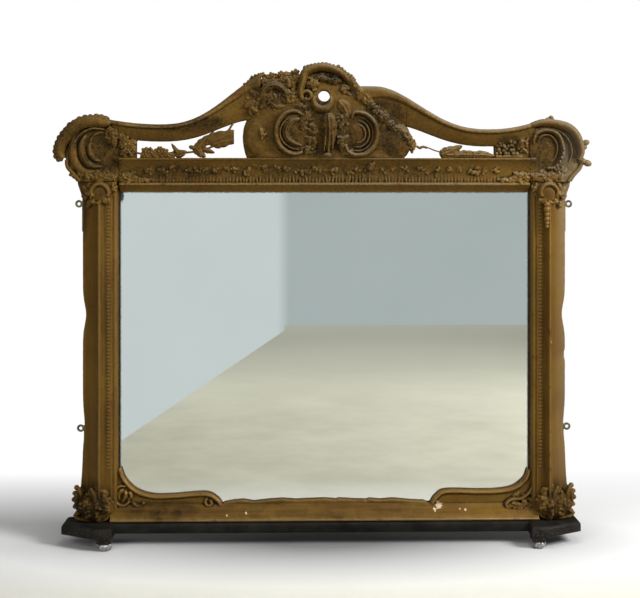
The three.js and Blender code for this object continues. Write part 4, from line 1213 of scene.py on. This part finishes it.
def centre_leaves(carving):
    """The ribbed leaf that hangs in the middle, its tip curling out over the frieze."""
    carving.leaf(spline(1, [(8, 668), (11, 612), (8, 550)]), 24, 18, 61, 8, 5, 0.02, 44, 0.2)
    for shift in (-12, 0, 12):
        rib = spline(1, [(9 + 0.4 * shift, 654), (11 + 0.8 * shift, 610), (8 + shift, 560)])
        carving.sweep(ROLL, rib, 30, swell(1, 3.4), swell(8, 15 - 0.2 * abs(shift)), ramp(63, 70))
    carving.ball(6, 548, 76, 7, 7, 0, 1.7)
    foliage(carving, 1, 91, 14, (-62, 690), (26, 14), 58, 8)
    for points, width in (([(-186, 626), (-182, 610), (-180, 592)], 9),
                          ([(-186, 610), (-176, 606), (-166, 610)], 7)):
        carving.leaf(spline(1, points), width, 9, 56, 2, 3)


def shoulder_flowers(carving):
    """The thick mass of flowers and leaves on the left shoulder, and the leaf scroll under it."""
    draw = np.random.default_rng(17)
    crown = spline(1, [(-226, 746), (-206, 766), (-187, 776), (-160, 776), (-131, 780), (-104, 780),
                       (-84, 786)])
    for i, t in enumerate(np.linspace(0, 1, 14)):
        x, z = crown(np.array([t]))[0]
        carving.bloom(x, z + draw.uniform(-4, 4), 44 + draw.uniform(-4, 4), draw.uniform(9, 12), 5, i)
        carving.bloom(x + draw.uniform(-4, 4), z - 17 + draw.uniform(-4, 4), 52 + draw.uniform(-3, 3),
                      draw.uniform(9, 13), 5, 2 * i)
    carving.leaf(spline(1, [(-186, 712), (-172, 738), (-142, 748), (-116, 732), (-108, 704)]), 13, 15, 54, 4,
                 9, 0.1, 44)
    foliage(carving, 1, 92, 30, (-206, 706), (22, 36), 50, 10)
    foliage(carving, 1, 93, 40, (-150, 706), (50, 26), 54, 11)
    foliage(carving, 1, 94, 26, (-100, 730), (22, 34), 57, 11)


def right_garland(carving):
    """The flowers that hang from the arch down to the right."""
    draw = np.random.default_rng(23)
    run = spline(1, [(87, 745), (117, 710), (131, 689), (160, 661), (183, 638), (211, 614), (235, 600),
                     (246, 574)])
    for i, t in enumerate(np.linspace(0, 1, 15)):
        x, z = run(np.array([t]))[0]
        depth = 60 - 14 * t
        foliage(carving, 1, 130 + i, 7, (x, z), (13, 11), depth, 8)
        carving.bloom(x + draw.uniform(-5, 5), z + draw.uniform(-4, 5), depth, draw.uniform(8, 12), 5, i)


def bore_hole(piece):
    """The hole that is pierced right through under the arch."""
    deselect()
    bpy.ops.mesh.primitive_cylinder_add(vertices=40, radius=HOLE_R * MM, depth=0.4,
                                        location=(HOLE_X * MM, -0.05, HOLE_Z * MM),
                                        rotation=(math.pi / 2, 0, 0))
    drill = bpy.context.object
    apply_modifier(piece, "BOOLEAN", operation="DIFFERENCE", object=drill, solver="EXACT")
    bpy.data.objects.remove(drill)
    split_alike(piece)


# Sprays in the openings of the crest
def left_spray(name):
    """The wired flowers and the vine that reach across the left opening."""
    carving = Carving()
    draw = np.random.default_rng(29)
    hook = crest_top(-1, -264) - crest_band(-1, -264) - 1
    stem = spline(1, [(-540.5, 556), (-500, 549), (-440, 548), (-400, 556), (-350, 564), (-300, 588),
                      (-264, hook)])
    carving.sweep(ROLL, stem, 60, steady(3), steady(4.5), steady(40))
    for x, z, r in ((-514, 560, 13), (-508, 546, 13), (-496, 556, 13), (-488, 546, 13), (-476, 560, 14),
                    (-468, 546, 13), (-458, 558, 12), (-448, 547, 12), (-436, 550, 11), (-500, 566, 7),
                    (-470, 568, 7), (-520, 550, 8)):
        carving.bloom(x, z, 43 + draw.uniform(-3, 3), r, 5, x)
    foliage(carving, 1, 101, 40, (-478, 546), (44, 10), 40, 8)
    for points, width in (([(-418, 550), (-426, 562), (-439, 582)], 8),
                          ([(-430, 552), (-414, 556), (-396, 560)], 10),
                          ([(-428, 548), (-416, 547), (-400, 552)], 7),
                          ([(-390, 574), (-374, 570), (-356, 572)], 7),
                          ([(-372, 574), (-362, 560), (-354, 543)], 15),
                          ([(-366, 564), (-354, 552), (-342, 544)], 11),
                          ([(-372, 564), (-352, 584), (-334, 606)], 15),
                          ([(-352, 568), (-336, 562), (-316, 556)], 9),
                          ([(-334, 584), (-298, 599), (-248, 617)], 22),
                          ([(-322, 578), (-290, 588), (-246, 592)], 17),
                          ([(-346, 580), (-334, 594), (-318, 616)], 12)):
        carving.leaf(spline(1, points), width, 8, 40, draw.uniform(2, 7), 3)
    cuts = [((0, CREST_FLOOR, 0), (0, -1, 0)), ((-540.7, 0, 0), (-1, 0, 0)), ((-261, 0, 0), (1, 0, 0))]
    piece = fuse(name, carving, 1.1, 45000, cuts, 0.2)
    return finish(piece, name, "gilt", GILT)


def right_spray(name):
    """A stub of twisted wire, and the leaves that still lie along the rail."""
    carving = Carving()
    draw = np.random.default_rng(31)
    stub = spline(1, [(263, 576), (272, 570), (281, 574), (293, 571)])
    carving.sweep(ROLL, stub, 24, steady(3.4), steady(4.5), steady(40))
    wire = spline(1, [(268, 570), (279, 575), (296, 571), (316, 563), (338, 557)])
    carving.sweep(ROLL, wire, 40, steady(1.9), steady(3.4), steady(40))
    for points, width in (([(330, 549), (354, 559), (393, 576)], 17),
                          ([(332, 553), (360, 550), (398, 547)], 18),
                          ([(338, 560), (352, 566), (372, 570)], 9),
                          ([(376, 551), (408, 551), (450, 549)], 14),
                          ([(424, 549), (452, 550), (487, 547)], 14),
                          ([(404, 546), (420, 552), (432, 560)], 8),
                          ([(440, 546), (456, 551), (470, 558)], 8),
                          ([(390, 546), (398, 554), (400, 562)], 8)):
        carving.leaf(spline(1, points), width, 10, 41, draw.uniform(0, 5), 4)
    foliage(carving, 1, 102, 30, (428, 547), (54, 8), 42, 8)
    foliage(carving, 1, 103, 12, (362, 554), (24, 10), 42, 8)
    for x, z, r in ((374, 552, 10), (408, 553, 10), (428, 551, 11), (446, 552, 9), (468, 549, 9)):
        carving.bloom(x, z, 46, r, 5, x)
    cuts = [((0, CREST_FLOOR, 0), (0, -1, 0)), ((CREST[1]["gap_end"] - JOINT, 0, 0), (1, 0, 0))]
    piece = fuse(name, carving, 1.0, 26000, cuts, 0.2)
    return finish(piece, name, "gilt", GILT)


# Base, feet, eyes, glass and back
def solid(name, carving, bevel=0.0, angle=0.6):
    """Plain closed shapes as one piece, with the edges eased."""
    piece = gathered(name, carving, lambda: bpy.ops.mesh.remove_doubles(threshold=1e-5))
    if bevel:
        apply_modifier(piece, "BEVEL", width=bevel * MM, segments=2, limit_method="ANGLE", angle_limit=angle)
    pick(piece)
    bpy.ops.object.shade_smooth_by_angle(angle=math.radians(35))
    return piece


BASE_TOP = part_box("base")[1][2] / MM
BASE_UNDER = -524.0
FOOT_BLOCK_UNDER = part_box("base")[0][2] / MM
BASE_X = (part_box("base")[0][0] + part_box("base")[1][0]) / 2 / MM
BASE_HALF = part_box("base")[1][0] / MM - BASE_X
CORNER_INNER, CORNER_OUTER = 587.0, 634.0
BASE_MIDDLE_DEPTH, BASE_CORNER_DEPTH = 70.0, 130.0
FOOT_X, FOOT_DEPTH, FOOT_RADIUS = 610.0, 106.0, 21.0
EYE_HEIGHTS = {"upper": 410.0, "lower": -238.0}
EYE_REACH = 11.0


def base(name):
    """The black board, rounded over along its top edge, with a block under each corner."""
    half = [(CORNER_INNER, BASE_MIDDLE_DEPTH), (CORNER_INNER, BASE_CORNER_DEPTH),
            (CORNER_OUTER, BASE_CORNER_DEPTH), (BASE_HALF, BASE_MIDDLE_DEPTH + 2), (BASE_HALF, 0)]
    plan = [(-x, d) for x, d in half[::-1]] + half
    round_off = 12.0
    carving = Carving()
    rings = [[(BASE_X + x, BASE_UNDER, d) for x, d in plan]]
    for degrees in (0, 18, 36, 54, 72, 90):
        angle = math.radians(degrees)
        back = round_off * (1 - math.cos(angle))
        height = BASE_TOP - round_off + round_off * math.sin(angle)
        rings.append([(BASE_X + x, height, d) for x, d in drawn_in(plan, back)])
    carving.rings(np.array(rings))
    for side in (-1, 1):
        x0, x1 = sorted(BASE_X + side * (FOOT_X + reach) for reach in (-FOOT_RADIUS, FOOT_RADIUS))
        carving.bar(x0, x1, FOOT_BLOCK_UNDER, BASE_UNDER, FOOT_DEPTH - FOOT_RADIUS, FOOT_DEPTH + FOOT_RADIUS)
    return finish(solid("black_base", carving, 0.8), name, "ebonised", BLACK)


def drawn_in(plan, back):
    """The plan's front edges moved back by a distance, its back edge left where it is."""
    moved = []
    count = len(plan)
    for i, point in enumerate(plan):
        if point[1] == 0:
            moved.append((math.copysign(abs(point[0]) - back, point[0]), 0.0))
            continue
        here = np.array(point)
        before = here - np.array(plan[i - 1])
        after = np.array(plan[(i + 1) % count]) - here
        inward = [np.array([v[1], -v[0]]) / np.linalg.norm(v) for v in (before, after)]
        corner = (inward[0] + inward[1]) / (1 + inward[0] @ inward[1])
        moved.append(tuple(here + back * corner))
    return moved


def foot(side, name):
    """A small lobed metal bun foot."""
    low, high = (corner[2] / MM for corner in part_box(name))
    profile = [(0.60, 0.0), (0.72, 0.03), (0.92, 0.22), (1.0, 0.5), (0.97, 0.7), (0.82, 0.87), (0.66, 0.93),
               (0.62, 1.0)]
    turn = np.linspace(0, 2 * np.pi, 61)[:-1]
    lobe = FOOT_RADIUS * (1 - 0.05 * (1 - np.cos(6 * turn)))
    rings = [np.stack([BASE_X + side * FOOT_X + r * lobe * np.cos(turn), np.full(60, low + h * (high - low)),
                       FOOT_DEPTH + r * lobe * np.sin(turn)], 1) for r, h in profile]
    carving = Carving()
    carving.rings(np.array(rings))
    return finish(solid(name + "_cast", carving), name, "white_metal", WHITE_METAL)


def eye(side, z, name):
    """A flat brass eye whose tail is let into the back of the stile."""
    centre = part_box(name)[0 if side < 0 else 1][0] / MM - side * EYE_REACH
    carving = Carving()
    flat = [(-1, 0), (1, 0), (1, 0.7), (0.75, 1), (-0.75, 1), (-1, 0.7)]
    ring = spiral(1, centre, z, [7.8, 7.8], [0, 359])
    carving.sweep(flat, ring, 40, steady(3.2), steady(3), steady(0))
    edge = abs(centre) - 9
    carving.bar(*sorted((side * 674, side * edge)), z - 80, z + 9, 0, 3)
    piece = fuse(name + "_plate", carving, 0.7, 4000, (), 0.03)
    return finish(piece, name, "eye_brass", BRASS)


def glass(name):
    """The plate of looking glass."""
    low, high = (np.array(corner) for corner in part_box(name))
    deselect()
    bpy.ops.mesh.primitive_cube_add(size=1, location=(low + high) / 2)
    plate = bpy.context.object
    plate.name = "looking_glass"
    plate.scale = high - low
    bpy.ops.object.transform_apply(location=True, rotation=True, scale=True)
    apply_modifier(plate, "BEVEL", width=0.0004, segments=1)
    return finish(plate, name, "silvered_glass", SILVER)


def backboard(name):
    """Rough pine boards laid across the back."""
    low, high = (np.array(corner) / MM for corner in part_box(name))
    carving = Carving()
    cuts = np.linspace(low[2], high[2], 6)
    for lower, upper in zip(cuts[:-1], cuts[1:]):
        carving.bar(low[0], high[0], lower + 0.3, upper - 0.3, -high[1], -low[1])
    return finish(solid("pine_back", carving, 0.6), name, "pine", PINE)


# Stage: a pale floor, soft light and the photograph's viewpoint
FLOOR_NEAR = (0.66, 0.66, 0.655)
FLOOR_WARM = (0.53, 0.515, 0.415)
FLOOR_DARK = (0.40, 0.385, 0.305)
FLOOR_FAR = (0.86, 0.85, 0.70)
FLOOR_GLOW = (1.0, 1.0, 0.84)
FLOOR_SHADE = (0.06, 0.06, 0.06)
WALL_LIGHT = (0.77, 0.85, 0.85)
WALL_COOL = (0.54, 0.61, 0.61)
ROOM_GREY = (0.26, 0.26, 0.26)
BACK_GREY = (0.10, 0.10, 0.10)
WHITE = (1.0, 1.0, 1.0)

# The camera that was solved from the photograph: millimetres, metres and degrees
LENS, SENSOR, LENS_SHIFT = 64.34, 36.0, -0.1547
CAMERA_PLACE = (-0.0835, -3.3193, 0.421)
CAMERA_TURN = -1.2


def stage_floor():
    """A pale floor: white far behind, warmer in front for the looking glass, shaded round the base."""
    outline = [(-6, 0.9), (6, 0.9), (6, -5.66), (-0.17, -5.66), (-0.17, -5.3), (-0.8, -1.35), (-6, -1.35)]
    mesh = bpy.data.meshes.new("pale_floor")
    mesh.from_pydata([(x, y, FLOOR_Z) for x, y in outline], [], [tuple(range(len(outline)))[::-1]])
    floor = bpy.data.objects.new("pale_floor", mesh)
    bpy.context.collection.objects.link(floor)
    material, paint, shader = new_material("pale_floor")
    _, y, _ = paint.axes(paint.place())
    warm = paint.blend(paint.span(paint.noise(3.0, 6.0, 0.6), 0.35, 0.65, 0.0, 0.6), FLOOR_WARM, FLOOR_DARK)
    warm = paint.blend(paint.span(y, -1.6, -4.2), warm, FLOOR_FAR)
    colour = paint.blend(paint.span(y, -0.2, -0.7), FLOOR_NEAR, warm)
    beside = paint.node("ShaderNodeMapping")
    paint.link(paint.place(), beside.inputs["Vector"])
    beside.inputs["Location"].default_value = (0, 0.1, 0)
    beside.inputs["Scale"].default_value = (1.05, 2.6, 0)
    shade = paint.span(paint.length(beside.outputs[0]), 1.0, 0.15, 0.0, 0.8)
    colour = paint.blend(shade, colour, FLOOR_SHADE)
    white = paint.span(y, 0.16, 0.8)
    # Far in front the floor glows faintly: painted light on the far floor seen in the looking glass
    glow = paint.calculate("MAXIMUM", white, paint.span(y, -3.3, -5.6, 0.0, 0.34))
    paint.link(paint.blend(white, colour, (0.0, 0.0, 0.0)), shader["Base Color"])
    paint.link(glow, shader["Emission Strength"])
    paint.link(paint.blend(paint.span(y, -1.0, 0.0), FLOOR_GLOW, WHITE), shader["Emission Color"])
    shader["Roughness"].default_value = 0.9
    shader["Specular IOR Level"].default_value = 0.0
    mesh.materials.append(material)


def studio_world():
    """A white studio that lights softly; the looking glass faces pale cool walls in it."""
    world = bpy.data.worlds.new("studio")
    world.use_nodes = True
    paint = Paint(world.node_tree)
    background = world.node_tree.nodes["Background"].inputs
    across, along, up = paint.axes(paint.node("ShaderNodeTexCoord").outputs["Generated"])
    facing = paint.calculate("MULTIPLY", paint.span(up, 0.16, 0.04), paint.span(along, -0.8, -0.93))
    wall = paint.blend(paint.span(across, -0.016, -0.006), WALL_LIGHT, WALL_COOL)
    room = paint.blend(facing, ROOM_GREY, wall)
    around = paint.blend(paint.span(along, 0.02, -0.12), BACK_GREY, room)
    seen = paint.node("ShaderNodeLightPath").outputs["Is Camera Ray"]
    paint.link(paint.blend(seen, around, WHITE), background["Color"])
    background["Strength"].default_value = 1.0
    bpy.context.scene.world = world


def area_light(name, place, aim, size, power):
    lamp = bpy.data.lights.new(name, "AREA")
    lamp.energy = power
    lamp.shape = "DISK"
    lamp.size = size
    lit = bpy.data.objects.new(name, lamp)
    lit.location = place
    direction = Vector(aim) - Vector(place)
    lit.rotation_euler = direction.to_track_quat("-Z", "Y").to_euler()
    bpy.context.collection.objects.link(lit)


def camera():
    """The photograph's viewpoint."""
    made = bpy.data.cameras.new("photo_view")
    made.lens = LENS
    made.sensor_width = SENSOR
    made.shift_y = LENS_SHIFT
    seen = bpy.data.objects.new("photo_view", made)
    seen.location = CAMERA_PLACE
    seen.rotation_euler = (math.pi / 2, 0, math.radians(CAMERA_TURN))
    bpy.context.collection.objects.link(seen)
    bpy.context.scene.camera = seen


for side, word in ((-1, "left"), (1, "right")):
    stile(side, f"{word}_stile")
    ear(side, f"{word}_ear")
    crest_rail(side, f"{word}_crest_rail")
    foot(side, f"{word}_foot")
    for level, height in EYE_HEIGHTS.items():
        eye(side, height, f"{level}_{word}_eye")
top_rail("top_rail")
bottom_rail("bottom_rail")
cartouche("cartouche")
left_spray("left_spray")
right_spray("right_spray")
base("base")
glass("mirror_glass")
backboard("backboard")

stage_floor()
studio_world()
area_light("key", (2.7, -1.7, 1.8), (0.1, 0, 0.0), 1.5, 190)
area_light("fill", (-1.8, -2.8, 1.4), (0, 0, 0.0), 2.0, 42)
area_light("top", (0.3, -0.7, 2.7), (0.1, -0.3, 0), 2.2, 36)
camera()
bpy.context.scene.view_settings.view_transform = "Standard"
